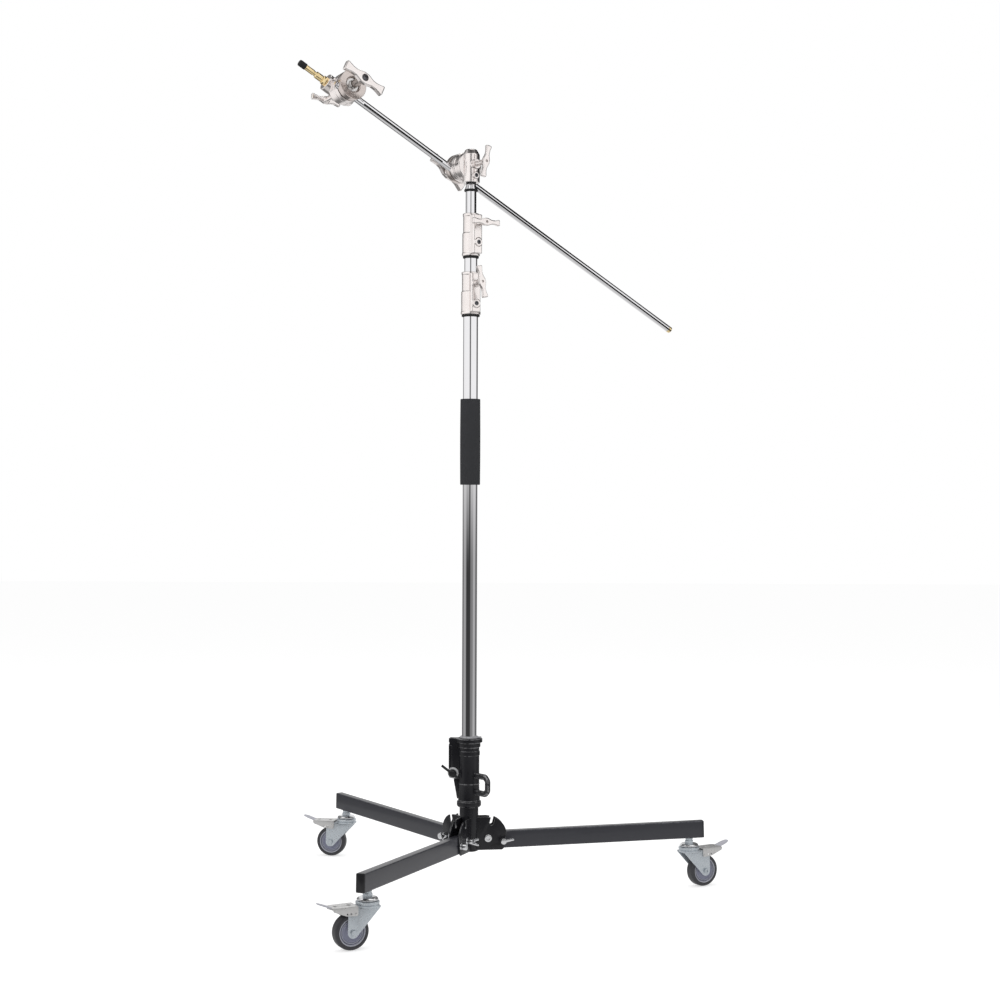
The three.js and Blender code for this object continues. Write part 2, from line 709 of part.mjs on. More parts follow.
// A wing screw: threaded shank from shankFrom, hub from seat, bar after the stem
function wingScrew(shankFrom, seat, stemLength, shankR) {
  const stemEnd = seat + stemLength;
  return barX(shankR, shankFrom, stemEnd + wing.thick / 2, 0, 0)
    .add(barX(wing.stem, seat, stemEnd + wing.thick / 2, 0, 0))
    .add(flaredBar(wing, stemEnd));
}

// Collars
const collarHeight = 99;
const collarStep = 53; // foot to the step between the fixed and the clamping half
const collarWall = 5;
const collarTopWall = 5.6;
const collarRim = 1;
const collarRimHeight = 6;
const lugOut = 30.5;
const lugHalf = 12.5;
const lugEnd = 4;
const lugChamfer = 4;
const wingScrewR = 4;
const wingSeat = 32;
const wingStem = 24;
const slitWidth = 2;
const slitEndR = 2.4;
const bossR = 10;
const bossOut = 33;
const screwHeadR = 5;
const screwHeadThick = 4;
const screwSocketR = 2.4;
const ringHeight = 4.6;
const ringWall = 3.6;

function collar(foot, tubeR, innerR, azimuth, wingUp, bossUp) {
  const top = foot + collarHeight;
  const step = foot + collarStep;
  const lowR = tubeR + collarWall;
  const highR = innerR + collarTopWall;
  let shape = turned([
    [0, foot],
    [lowR + collarRim, foot],
    [lowR + collarRim, foot + collarRimHeight],
    [lowR, foot + collarRimHeight + collarRim],
    [lowR, step],
    [highR, step + collarRim],
    [highR, top - collarRimHeight - collarRim],
    [highR + collarRim, top - collarRimHeight],
    [highR + collarRim, top],
    [0, top],
  ]);
  const lugSection = outlineOf([
    [0, -lugHalf],
    [lugOut - lugChamfer, -lugHalf],
    [lugOut, lugChamfer - lugHalf],
    [lugOut, lugHalf - lugChamfer],
    [lugOut - lugChamfer, lugHalf],
    [0, lugHalf],
  ]);
  const lug = new THREE.ExtrudeGeometry(lugSection, { depth: collarHeight - 2 * lugEnd, bevelEnabled: false });
  const wingZ = foot + wingUp;
  const bossZ = foot + bossUp;
  const front = solid(lug, move(0, 0, foot + lugEnd))
    .add(barX(bossR, 0, bossOut, 0, bossZ, roundSides))
    .add(barX(wing.hub, 0, wingSeat - seatGap, 0, wingZ, smallSides));
  shape = shape.add(front.rotate([0, 0, azimuth]));
  const wingHole = barX(wingScrewR + boreGap, 0, wingSeat + overrun, 0, wingZ);
  const screwHole = barX(screwHeadR + boreGap, bossOut - screwHeadThick, bossOut + overrun, 0, bossZ);
  const slit = box([0, -slitWidth / 2, step + collarRim], [highR + overrun, slitWidth / 2, top + overrun])
    .add(barX(slitEndR, 0, highR + overrun, 0, step + collarRim));
  return shape
    .subtract(bar(tubeR + seatGap, foot - overrun, step))
    .subtract(bar(innerR + boreGap, step - overrun, top + overrun))
    .subtract(wingHole.add(screwHole).rotate([0, 0, azimuth]))
    .subtract(slit.rotate([0, 0, 180]));
}

function collarSet(number, foot, tubeR, innerR, azimuth, wingUp, bossUp, wingTilt) {
  const name = `collar_${number}`;
  piece(name, collar(foot, tubeR, innerR, azimuth, wingUp, bossUp), finishes.satinCast, stand);
  const ringTop = foot - seatGap;
  const ring = bar(tubeR + ringWall, ringTop - ringHeight, ringTop)
    .subtract(bar(tubeR + seatGap, ringTop - ringHeight - overrun, foot));
  piece(`${name}_ring`, ring, finishes.rubber, stand);
  const radial = place(stand, spinZ(azimuth));
  const screw = barX(screwHeadR, bossOut - screwHeadThick + seatGap, bossOut + seatGap, 0, 0)
    .subtract(barX(screwSocketR, bossOut - screwHeadThick / 2, bossOut + overrun, 0, 0, hexSides));
  piece(`${name}_screw`, screw, finishes.chrome, place(radial, move(0, 0, foot + bossUp)));
  const wingSeatFrom = innerR + boreGap + seatGap;
  const wingShape = wingScrew(wingSeatFrom, wingSeat, wingStem, wingScrewR);
  piece(`${name}_wing`, wingShape, finishes.satinCast,
    place(radial, chain(move(0, 0, foot + wingUp), spinX(wingTilt))));
}

const collar1 = { azimuth: -64, wingUp: 71, bossUp: 24, wingTilt: 103 };
const collar2 = { azimuth: -54, wingUp: 73, bossUp: 30, wingTilt: 0 };
const collar1Foot = lowerRiserTop - collarStep + seatGap;
const collar1Top = collar1Foot + collarHeight;
collarSet(1, collar1Foot, lowerRiserR, midRiserR, collar1.azimuth, collar1.wingUp, collar1.bossUp, collar1.wingTilt);

const midShown = 37.5; // middle tube in sight between the collars
const collar2Foot = collar1Top + midShown;
const midTop = collar2Foot + collarStep - seatGap;
piece('mid_riser', tube(midRiserR, midTop - midRiserLength, midTop), finishes.chrome, stand);
collarSet(2, collar2Foot, midRiserR, topRiserR, collar2.azimuth, collar2.wingUp, collar2.bossUp, collar2.wingTilt);

// Top tube and its cap with the spigot that carries the head
const topShown = 51.8; // top tube in sight above the upper collar
const topRiserTop = collar2Foot + collarHeight + topShown;
piece('top_riser', tube(topRiserR, topRiserTop - topRiserLength, topRiserTop), finishes.chrome, stand);
const capRingR = 16;
const capRingHeight = 5;
const capConeR = 15;
const capNeckR = 11.5;
const capTopRingR = 12;
const capHeight = 20;
const capPlugLength = 22;
const spigotLength = 48;
const spigotBevel = 1;
const capFoot = topRiserTop + seatGap;
const capTop = capFoot + capHeight;
const capPlugR = topRiserR - riserWall - seatGap;
piece('riser_cap', turned([
  [0, capFoot - capPlugLength],
  [capPlugR, capFoot - capPlugLength],
  [capPlugR, capFoot],
  [capRingR, capFoot],
  [capRingR, capFoot + capRingHeight],
  [capConeR, capFoot + capRingHeight],
  [capNeckR, capTop - capRingHeight],
  [capTopRingR, capTop - capRingHeight],
  [capTopRingR, capTop],
  [spigotR, capTop],
  [spigotR, capTop + spigotLength - spigotBevel],
  [spigotR - spigotBevel, capTop + spigotLength],
  [0, capTop + spigotLength],
], smallSides), finishes.chrome, stand);

// Grip heads. In a head's frame +X is the clamp screw's axis towards its T handle,
// +Z the socket's axis away from its mouth, and the arm lies along Y.
const socketR = 20;
const socketLow = 41;
const socketHigh = 37;
const socketDepth = 52; // mouth to the bottom of the socket
const domeR = 13;
const drumR = 32;
const drumBack = -9;
const drumFront = 23;
const discR = 34;
const bodyFace = 29;
const wingBossR = 11;
const wingBossEnd = 27;
const armPlane = 44; // socket's axis to the arm's axis along X
const armOffset = 16; // screw's axis to the arm's axis across the discs
const discGap = 3.6; // between the two discs, half on each side of the arm
const outerFace = 60;
const recessR = 21;
const recessFloor = 53;
const screwR = 6;
const screwBore = 6.4;
const screwFrom = 8;
const handleHubR = 10;
const handleSeat = recessFloor + seatGap;
const handleBarX = 98;
const headWingStem = 31;
const baseBevel = 1;
const rimBevel = 2;

function headBody() {
  const drum = turned([
    [0, drumBack],
    [drumR - domeR, drumBack],
    [drumR, drumBack + domeR],
    [drumR, drumFront],
    [discR, drumFront + baseBevel],
    [discR, bodyFace],
    [0, bodyFace],
  ], roundSides, spinY(90));
  const socket = turned([
    [0, -socketLow],
    [socketR, -socketLow],
    [socketR, socketHigh - domeR],
    [domeR, socketHigh],
    [0, socketHigh],
  ]);
  return drum.add(socket)
    .add(barX(wingBossR, -wingBossEnd, 0, 0, 0, roundSides))
    .subtract(bar(spigotR + boreGap, -socketLow - overrun, socketDepth - socketLow, smallSides))
    .subtract(barX(wingScrewR + boreGap, -wingBossEnd - overrun, 0, 0, 0))
    .subtract(barX(screwBore, screwFrom, bodyFace + overrun, 0, 0));
}

// The arm's groove, as a cutter along Y; side is +1 or -1 for the side of the screw
const armCutter = (side) => bar(armR + seatGap, -2 * discR, 2 * discR, roundSides,
  chain(move(armPlane, 0, side * armOffset), spinX(90)));

function innerDisc(side) {
  const from = bodyFace + seatGap;
  const to = armPlane - discGap / 2;
  return barX(discR, from, to, 0, 0, roundSides)
    .subtract(armCutter(side))
    .subtract(barX(screwBore, from - overrun, to + overrun, 0, 0));
}

function outerDisc(side) {
  const from = armPlane + discGap / 2;
  const shape = turned([
    [screwBore, from],
    [discR, from],
    [discR, outerFace - rimBevel],
    [discR - rimBevel, outerFace],
    [recessR, outerFace],
    [recessR, recessFloor],
    [screwBore, recessFloor],
    [screwBore, from],
  ], roundSides, spinY(90));
  return shape.subtract(armCutter(side));
}

function headHandle() {
  const inBar = handleBarX + tHandle.thick / 2;
  return barX(screwR, screwFrom + seatGap, inBar, 0, 0)
    .add(barX(handleHubR, handleSeat, inBar, 0, 0, roundSides))
    .add(flaredBar(tHandle, handleBarX));
}
const headWing = wingScrew(spigotR + boreGap + seatGap, wingBossEnd + seatGap, headWingStem, wingScrewR);

// Puts a head's pieces into two groups: the half on its socket and the half on the arm
function head(number, onSocket, onArm, side, handleTurn, wingTurn) {
  const name = `head_${number}`;
  piece(`${name}_body`, headBody(), finishes.satinCast, onSocket);
  piece(`${name}_wing`, headWing, finishes.satinCast, place(onSocket, chain(spinZ(180), spinX(wingTurn))));
  piece(`${name}_inner_disc`, innerDisc(side), finishes.satinCast, onArm);
  piece(`${name}_outer_disc`, outerDisc(side), finishes.satinCast, onArm);
  piece(`${name}_handle`, headHandle(), finishes.satinCast, place(onArm, spinX(handleTurn)));
}

// A frame from its X axis and a vector near its Z axis
function frameAt(origin, xAxis, nearZ) {
  const x = xAxis.clone().normalize();
  const y = new THREE.Vector3().crossVectors(nearZ, x).normalize();
  const z = new THREE.Vector3().crossVectors(x, y);
  return new THREE.Matrix4().makeBasis(x, y, z).setPosition(origin);
}

// Arm direction from the upper head to the tip, and the lower head's screw axis
const armAlong = new THREE.Vector3(
  Math.cos(turn(armPitch)) * Math.cos(turn(armAzimuth)),
  Math.cos(turn(armPitch)) * Math.sin(turn(armAzimuth)),
  -Math.sin(turn(armPitch)));
const up = new THREE.Vector3(0, 0, 1);
const screwAxis1 = new THREE.Vector3().crossVectors(up, armAlong).normalize();
const armUp = new THREE.Vector3().crossVectors(armAlong, screwAxis1).normalize();
const head1Centre = new THREE.Vector3(0, 0, capTop + seatGap + socketLow);
const crossing = head1Centre.clone()
  .addScaledVector(screwAxis1, armPlane)
  .addScaledVector(armUp, -armOffset);

const handle1Turn = 11.6; // degrees round the screw
const wing1Turn = 78;
head(1, place(stand, frameAt(head1Centre, screwAxis1, up)),
  place(stand, frameAt(head1Centre, screwAxis1, armUp)), -1, handle1Turn, wing1Turn);

// Boom arm: a tube along +X of its own frame, with a brass tip
const armGroup = place(stand, frameAt(crossing, armAlong, armUp));
const armStart = -headSpacing - armBehindHead;
const tipLength = 20;
const armTubeEnd = armStart + armLength - tipLength / 2;
const armBore = armR - armWall;
piece('boom_arm', barX(armR, armStart, armTubeEnd, 0, 0, roundSides)
  .subtract(barX(armBore, armStart - overrun, armTubeEnd + overrun, 0, 0)), finishes.chrome, armGroup);
const tipCollar = tipLength / 2;
piece('arm_tip', barX(armR, armTubeEnd + seatGap, armTubeEnd + tipCollar, 0, 0, roundSides)
  .add(barX(armBore - boreGap, armTubeEnd - tipLength, armTubeEnd + tipCollar, 0, 0)), finishes.brass, armGroup);

// Upper head: clamped on the arm, its socket mouth facing up along the arm
const head2Tilt = 7; // degrees that its screw axis is rolled up from the horizontal
const screwAxis2 = screwAxis1.clone().multiplyScalar(-Math.cos(turn(head2Tilt)))
  .addScaledVector(armUp, Math.sin(turn(head2Tilt)));
const arm2Up = new THREE.Vector3().crossVectors(screwAxis2, armAlong).normalize();
const head2Centre = crossing.clone()
  .addScaledVector(armAlong, -headSpacing)
  .addScaledVector(screwAxis2, -armPlane)
  .addScaledVector(arm2Up, armOffset);
const handle2Turn = 0;
const wing2Turn = 70;
const onSocket2 = place(stand, frameAt(head2Centre, screwAxis2, armAlong));
head(2, onSocket2, place(stand, frameAt(head2Centre, screwAxis2, arm2Up)), -1, handle2Turn, wing2Turn);

// Brass stud in the upper head's socket, with a rubber cap on its end
const studHexR = 13;
const studHexLength = 9;
const studLength = 52;
const studR = 8;
const studNoseR = 6.4;
const studGrooveR = 5.4;
const studGrooveShares = [0.36, 0.46]; // of the length in sight
const studInside = 45;
const capWall = 0.8;
const capCover = 4; // cap's overlap on the stud's nose
const studCapLength = 18;
const studMouth = -socketLow - seatGap;
const studShoulder = studMouth - studHexLength;
const studEnd = studShoulder - studLength;
const [grooveFrom, grooveTo] = studGrooveShares.map((share) => studShoulder - share * studLength);
piece('stud', turned([
  [0, studEnd],
  [studNoseR, studEnd],
  [studNoseR, grooveTo],
  [studGrooveR, grooveTo],
  [studGrooveR, grooveFrom],
  [studR, grooveFrom],
  [studR, studMouth + studInside],
  [0, studMouth + studInside],
]).add(bar(studHexR, studShoulder, studMouth, hexSides)), finishes.brass, onSocket2);
const capEnd = studEnd - studCapLength + capCover;
const studCap = bar(studNoseR + seatGap + capWall, capEnd, studEnd + capCover)
  .subtract(bar(studNoseR + seatGap, studEnd - seatGap, studEnd + capCover + overrun));
piece('stud_cap', studCap, finishes.rubber, onSocket2);

// The part's origin is the middle of its footprint, on the floor
stand.updateMatrixWorld(true);
const footprint = new THREE.Box3().setFromObject(stand, true).getCenter(new THREE.Vector3());
stand.position.set(-footprint.x, -footprint.y, 0);
const part = new THREE.Group();
part.add(stand);

export default part;
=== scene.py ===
import math

import bmesh
import bpy
import numpy as np
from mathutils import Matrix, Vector


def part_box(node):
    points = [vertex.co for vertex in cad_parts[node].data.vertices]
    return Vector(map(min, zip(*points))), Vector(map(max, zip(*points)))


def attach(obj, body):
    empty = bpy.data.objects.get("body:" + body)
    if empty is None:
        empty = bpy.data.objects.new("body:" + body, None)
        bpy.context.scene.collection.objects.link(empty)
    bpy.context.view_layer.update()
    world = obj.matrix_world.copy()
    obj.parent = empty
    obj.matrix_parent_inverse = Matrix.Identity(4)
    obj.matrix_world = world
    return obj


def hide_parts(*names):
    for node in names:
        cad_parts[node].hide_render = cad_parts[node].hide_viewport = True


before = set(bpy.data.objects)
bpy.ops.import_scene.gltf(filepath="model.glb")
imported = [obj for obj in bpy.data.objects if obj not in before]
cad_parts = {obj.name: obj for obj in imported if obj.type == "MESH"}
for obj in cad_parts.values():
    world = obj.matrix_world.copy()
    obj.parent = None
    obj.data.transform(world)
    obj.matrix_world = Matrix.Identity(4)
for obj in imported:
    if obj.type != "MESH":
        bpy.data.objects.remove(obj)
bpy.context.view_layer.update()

# Studio. The stand is photographed level from 4 m in front of its column, on a white floor
# before a white wall. A round white tent hung with dark felt strips is what its chrome shows.
mm = 0.001
riser_low, riser_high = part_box("lower_riser")
column = np.array([(riser_low.x + riser_high.x) / 2, (riser_low.y + riser_high.y) / 2, 0.0])


def add_object(name, data):
    """A new object in the scene."""
    added = bpy.data.objects.new(name, data)
    bpy.context.collection.objects.link(added)
    return added


camera_reach, camera_height = 4.0, 0.918
camera_data = bpy.data.cameras.new("camera")
camera_data.sensor_width = 36
camera_data.lens = 61.67
camera = add_object("camera", camera_data)
camera.location = Vector(column) + Vector((0.070, -camera_reach, camera_height))
camera.rotation_euler = (math.radians(90), math.radians(-0.2), 0)
bpy.context.scene.camera = camera
bpy.context.scene.view_settings.view_transform = "Standard"


def feed(tree, fed, inputs):
    """Each named input of a node set to a value, or linked where another node's socket is given."""
    for label, value in inputs.items():
        if isinstance(value, bpy.types.NodeSocket):
            tree.links.new(value, fed.inputs[label])
        else:
            fed.inputs[label].default_value = value


def node(tree, kind, inputs, **settings):
    """A new shader node with its settings and its inputs."""
    added = tree.nodes.new("ShaderNode" + kind)
    for name, value in settings.items():
        setattr(added, name, value)
    feed(tree, added, inputs)
    return added


def new_material(name):
    """A node material that has only its Principled shader; returns the material, its tree and the shader."""
    material = bpy.data.materials.new(name)
    material.use_nodes = True
    tree = material.node_tree
    tree.nodes.clear()
    shader = node(tree, "BsdfPrincipled", {})
    node(tree, "OutputMaterial", {"Surface": shader.outputs[0]})
    return material, tree, shader


def by_ray(tree, seen, lighting):
    """The value seen by camera, glossy and transmission rays, and the value lighting for all others."""
    rays = node(tree, "LightPath", {})
    total = rays.outputs["Is Camera Ray"]
    for other in ("Is Glossy Ray", "Is Transmission Ray"):
        total = node(tree, "Math", {0: total, 1: rays.outputs[other]}, operation="MAXIMUM").outputs[0]
    return node(tree, "MapRange", {"To Min": lighting, "To Max": seen, "Value": total}).outputs[0]


world = bpy.data.worlds.new("studio")
bpy.context.scene.world = world
world.use_nodes = True
feed(world.node_tree, world.node_tree.nodes["Background"],
     {"Color": (1, 1, 1, 1), "Strength": by_ray(world.node_tree, 1.0, 0.5)})

floor_mesh = bpy.data.meshes.new("studio_floor")
floor_corners = np.array([(-15, -15), (15, -15), (15, 15), (-15, 15)]) + column[:2]
floor_mesh.from_pydata([(x, y, -0.0004) for x, y in floor_corners], [], [(0, 1, 2, 3)])
floor = add_object("studio_floor", floor_mesh)
floor_material, floor_tree, floor_shader = new_material("white_floor")
feed(floor_tree, floor_shader, {
    "Base Color": (0.82, 0.82, 0.82, 1), "Roughness": 0.9, "Specular IOR Level": 0.0,
    "Emission Color": (1, 1, 1, 1), "Emission Strength": by_ray(floor_tree, 0.57, 0.0),
})
floor_mesh.materials.append(floor_material)

tent_radius, wall_top, roof_top = 1.2, 3.5, 3.8
tent_angle = np.radians(np.arange(360))
ground = 0.0006
tent_height = np.concatenate([
    [ground, ground], np.linspace(ground, wall_top, 83), np.linspace(wall_top, roof_top, 12)[1:],
])
tent_reach = tent_radius * np.sqrt(np.clip((roof_top - tent_height) / (roof_top - wall_top), 0, 1))
tent_reach[:2] = 0.001, tent_radius - 0.01
tent_points = np.stack([
    np.sin(tent_angle)[None] * tent_reach[:, None],
    -np.cos(tent_angle)[None] * tent_reach[:, None],
    np.repeat(tent_height[:, None], 360, 1),
], -1)
turn_from_camera = (np.degrees(tent_angle) + 180) % 360 - 180
shown_at = (tent_height + camera_height * tent_radius / camera_reach) / (1 + tent_radius / camera_reach)
high_strips = np.interp(turn_from_camera, [-180, -126, -114, -14, -9, 6, 11, 102, 112, 180],
                        [0.25, 0.25, 1.0, 1.0, 0.16, 0.16, 1.0, 1.0, 0.06, 0.06])
low_strips = np.interp(turn_from_camera, [-180, -108, -98, -60, -50, 6, 14, 50, 58, 90, 100, 180],
                       [0.17, 0.17, 0.42, 0.36, 0.045, 0.045, 0.20, 0.26, 0.48, 0.44, 0.15, 0.12])
rise_share = np.clip((shown_at - 0.72) / 0.56, 0, 1)[:, None]
rise_share = rise_share ** 2 * (3 - 2 * rise_share)
white = low_strips * (1 - rise_share) + high_strips * rise_share
back_turn, rise = np.abs(turn_from_camera), tent_height[:, None]
roof_darkening, back_white, ground_white = 0.95, 0.8, 0.64
above_and_behind = np.interp(rise, [1.80, 1.86], [0, 1]) * np.interp(
    turn_from_camera, [-180, -88, -82, 74, 80, 165, 180], [0.4, 0.4, 0, 0, 1, 1, 0.4])
roof = np.interp(rise, [3.35, 3.45], [0, 1])
white = white * (1 - roof_darkening * np.maximum(above_and_behind, roof))
back_wall = np.interp(rise, [1.55, 1.65], [1, 0]) * np.interp(back_turn, [146, 152], [0, 1])
white = np.maximum(white, back_white * back_wall)
white[:2] = ground_white
tent_mesh = bpy.data.meshes.new("light_tent")
rows, columns = len(tent_height), 360
i, j = np.meshgrid(np.arange(rows - 1), np.arange(columns), indexing="ij")
j2 = (j + 1) % columns
tent_faces = np.stack([i * columns + j, i * columns + j2, (i + 1) * columns + j2, (i + 1) * columns + j], -1)
tent_mesh.from_pydata((tent_points.reshape(-1, 3) + column).tolist(), [], tent_faces.reshape(-1, 4).tolist())
cloth = tent_mesh.attributes.new("cloth", "FLOAT", "POINT")
cloth.data.foreach_set("value", np.broadcast_to(white, tent_points.shape[:2]).ravel().astype(np.float32))

# a black flag beside the boom arm: the middle of the arm's front mirrors it as one dark line. It
# is in two spans, one on each side of the lower head, so that the heads stay free of it
flag_reach, flag_half = 0.05, 0.021
after_upper, before_lower, after_lower = 0.028, 0.066, 0.042
arm_low, arm_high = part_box("boom_arm")
arm_ends = np.array([(arm_low.x, arm_low.y, arm_high.z), (arm_high.x, arm_high.y, arm_low.z)])
arm_line = (arm_ends[1] - arm_ends[0]) / np.linalg.norm(arm_ends[1] - arm_ends[0])
mirrored = 2 * arm_line[1] * arm_line - np.array([0, 1, 0])
flag_across = np.cross(arm_line, mirrored)
head_at = [(np.mean(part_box(f"head_{n}_outer_disc"), axis=0) - arm_ends[0]) @ arm_line for n in (2, 1)]
flag_stops = [head_at[0] + after_upper, head_at[1] - before_lower, head_at[1] + after_lower,
              (arm_ends[1] - arm_ends[0]) @ arm_line]
flag_corners = [arm_ends[0] + stop * arm_line + flag_reach * mirrored + side * flag_across
                for stop in flag_stops for side in (-flag_half, flag_half)]
flag_mesh = bpy.data.meshes.new("arm_flag")
flag_mesh.from_pydata([tuple(corner) for corner in flag_corners], [], [(0, 1, 3, 2), (4, 5, 7, 6)])
for name, mesh in (("light_tent", tent_mesh), ("arm_flag", flag_mesh)):
    cloth_piece = add_object(name, mesh)
    for ray in ("camera", "diffuse", "transmission", "shadow", "volume_scatter"):
        setattr(cloth_piece, "visible_" + ray, False)
tent_material, tent_tree, tent_shader = new_material("tent_cloth")
tent_value = node(tent_tree, "Attribute", {}, attribute_name="cloth")
feed(tent_tree, tent_shader, {
    "Base Color": (0, 0, 0, 1), "Specular IOR Level": 0.0, "Emission Color": (1, 1, 1, 1),
    "Emission Strength": tent_value.outputs["Fac"],
})
tent_mesh.materials.append(tent_material)
flag_mesh.materials.append(tent_material)

lamps = {
    "lamp_left": ((-2.4, -2.2, 2.6), 2.0, 24),
    "lamp_right": ((2.6, -1.4, 2.2), 1.6, 9),
    "lamp_top": ((0.2, 0.6, 3.6), 2.4, 26),
}
for name, (spot, width, power) in lamps.items():
    lamp_data = bpy.data.lights.new(name, "AREA")
    lamp_data.size = width
    lamp_data.energy = power
    lamp = add_object(name, lamp_data)
    lamp.location = Vector(column) + Vector(spot)
    aim = Vector(column) + Vector((0, 0, 0.9)) - lamp.location
    lamp.rotation_euler = aim.to_track_quat("-Z", "Y").to_euler()


# Base hub. One iron casting in black paint: a neck with three pairs of plates, and each pair
# takes a leg between its plates. A round keeper on the far plate stands in line with the pin.
def move(x, y, z):
    """A shift, as a 4 by 4 matrix in millimetres."""
    m = np.eye(4)
    m[:3, 3] = (x, y, z)
    return m


def turn(axis, degrees):
    """A turn about the x, y or z axis."""
    c, s = math.cos(math.radians(degrees)), math.sin(math.radians(degrees))
    first, second = {"x": (1, 2), "y": (2, 0), "z": (0, 1)}[axis]
    m = np.eye(4)
    m[first, first] = m[second, second] = c
    m[second, first], m[first, second] = s, -s
    return m


def placed(points, place):
    """Points carried by a matrix."""
    return points @ place[:3, :3].T + place[:3, 3]


def grid_faces(rows, columns, closed_rows=False):
    """Quads between neighbouring rows of a grid whose columns close on themselves."""
    r, c = np.meshgrid(np.arange(rows if closed_rows else rows - 1), np.arange(columns), indexing="ij")
    r2, c2 = (r + 1) % rows, (c + 1) % columns
    quads = np.stack([r * columns + c, r * columns + c2, r2 * columns + c2, r2 * columns + c], -1)
    return quads.reshape(-1, 4).tolist()


def rounded(corners, radius, closed=True, steps=5):
    """An outline with each corner replaced by an arc that is tangent to both its sides."""
    p = np.array(corners, float)
    radii = np.broadcast_to(np.asarray(radius, float), len(p))
    done = []
    for k, b in enumerate(p):
        a, c = p[k - 1], p[(k + 1) % len(p)]
        to_a, to_c = np.linalg.norm(a - b), np.linalg.norm(c - b)
        if (not closed and k in (0, len(p) - 1)) or radii[k] == 0 or min(to_a, to_c) == 0:
            done.append(b[None])
            continue
        u, v = (a - b) / to_a, (c - b) / to_c
        half = math.acos(np.clip(u @ v, -1, 1)) / 2
        if half > math.radians(89.5) or half < math.radians(0.5):
            done.append(b[None])
            continue
        cut = min(radii[k] / math.tan(half), 0.49 * min(to_a, to_c))
        centre = b + (u + v) / np.linalg.norm(u + v) * cut / math.cos(half)
        start, end = b + u * cut - centre, b + v * cut - centre
        sweep = math.pi - 2 * half
        t = np.linspace(0, 1, steps + 1)[:, None]
        done.append(centre + (np.sin((1 - t) * sweep) * start + np.sin(t * sweep) * end) / math.sin(sweep))
    return np.concatenate(done)


def opened(corners, radius, steps=5):
    """The same for a line whose two ends stay as they are."""
    return rounded(corners, radius, False, steps)


def turned(profile, place=np.eye(4), closed=False, steps=64):
    """A profile of radius and height carried round the z axis: (r cos a, r sin a, z)."""
    p = np.array(profile, float)
    angle = np.arange(steps) * 2 * math.pi / steps
    around = [p[:, :1] * np.cos(angle), p[:, :1] * np.sin(angle), np.repeat(p[:, 1:], steps, 1)]
    return placed(np.stack(around, -1).reshape(-1, 3), place), grid_faces(len(p), steps, closed)


def rod(radius, low, high, place=np.eye(4), ease=0.0, steps=48):
    """A round bar about the z axis, its two ends eased."""
    corners = [(0, low), (radius, low), (radius, high), (0, high)]
    return turned(opened(corners, [0, ease, ease, 0]), place, steps=steps)


def ring(inner, outer, low, high, radii, place=np.eye(4), steps=96):
    """A turned ring of rectangular section, its corners rounded."""
    corners = [(inner, low), (outer, low), (outer, high), (inner, high)]
    return turned(rounded(corners, radii), place, closed=True, steps=steps)


def both_sides(half):
    """An outline of corners (x, z, radius) followed by their mirror image in the x axis, rounded."""
    half = np.array(half, float)
    back = half[::-1] * (1, -1, 1)
    corners = np.concatenate([half, back[1:] if half[-1, 1] == 0 else back])
    return rounded(corners[:, :2], corners[:, 2])


def arc(x, z, radius, start, end, steps=12):
    """Points on a circle about (x, z), from one angle to another."""
    angle = np.radians(np.linspace(start, end, steps + 1))
    return np.stack([x + radius * np.cos(angle), z + radius * np.sin(angle)], -1)


def plate(loops, low, high, bevel, place=np.eye(4)):
    """Outlines in x and z, the first the edge and the others holes, thick from y low to high, edges eased."""
    curve = bpy.data.curves.new("outline", "CURVE")
    curve.dimensions = "2D"
    curve.fill_mode = "BOTH"
    curve.extrude = (high - low) / 2 - bevel
    curve.bevel_depth = bevel
    curve.bevel_resolution = 2
    curve.offset = -bevel
    for loop in loops:
        spline = curve.splines.new("POLY")
        spline.points.add(len(loop) - 1)
        flat = np.zeros((len(loop), 4))
        flat[:, :2] = loop
        flat[:, 3] = 1
        spline.points.foreach_set("co", flat.ravel())
        spline.use_cyclic_u = True
    made = add_object("outline", curve)
    filled = bpy.data.meshes.new_from_object(made.evaluated_get(bpy.context.evaluated_depsgraph_get()))
    points = np.zeros(len(filled.vertices) * 3)
    filled.vertices.foreach_get("co", points)
    points = points.reshape(-1, 3)
    points = np.stack([points[:, 0], points[:, 2] + (low + high) / 2, points[:, 1]], -1)
    faces = [list(f.vertices) for f in filled.polygons]
    bpy.data.objects.remove(made)
    bpy.data.meshes.remove(filled)
    return placed(points, place), faces


def mesh_of(name, shells):
    """Closed shells in millimetres about the column's axis, as one mesh with its faces pointing outwards."""
    points, faces, count = [], [], 0
    for shell_points, shell_faces in shells:
        points.append(shell_points)
        faces += [[v + count for v in f] for f in shell_faces]
        count += len(shell_points)
    mesh = bpy.data.meshes.new(name)
    mesh.from_pydata((np.concatenate(points) * mm + column).tolist(), [], faces)
    shape = bmesh.new()
    shape.from_mesh(mesh)
    bmesh.ops.remove_doubles(shape, verts=shape.verts, dist=2e-6)
    bmesh.ops.dissolve_degenerate(shape, dist=1e-7, edges=shape.edges)
    bmesh.ops.dissolve_limit(shape, angle_limit=0.004, verts=shape.verts, edges=shape.edges)
    bmesh.ops.recalc_face_normals(shape, faces=shape.faces)
    shape.to_mesh(mesh)
    shape.free()
    return mesh


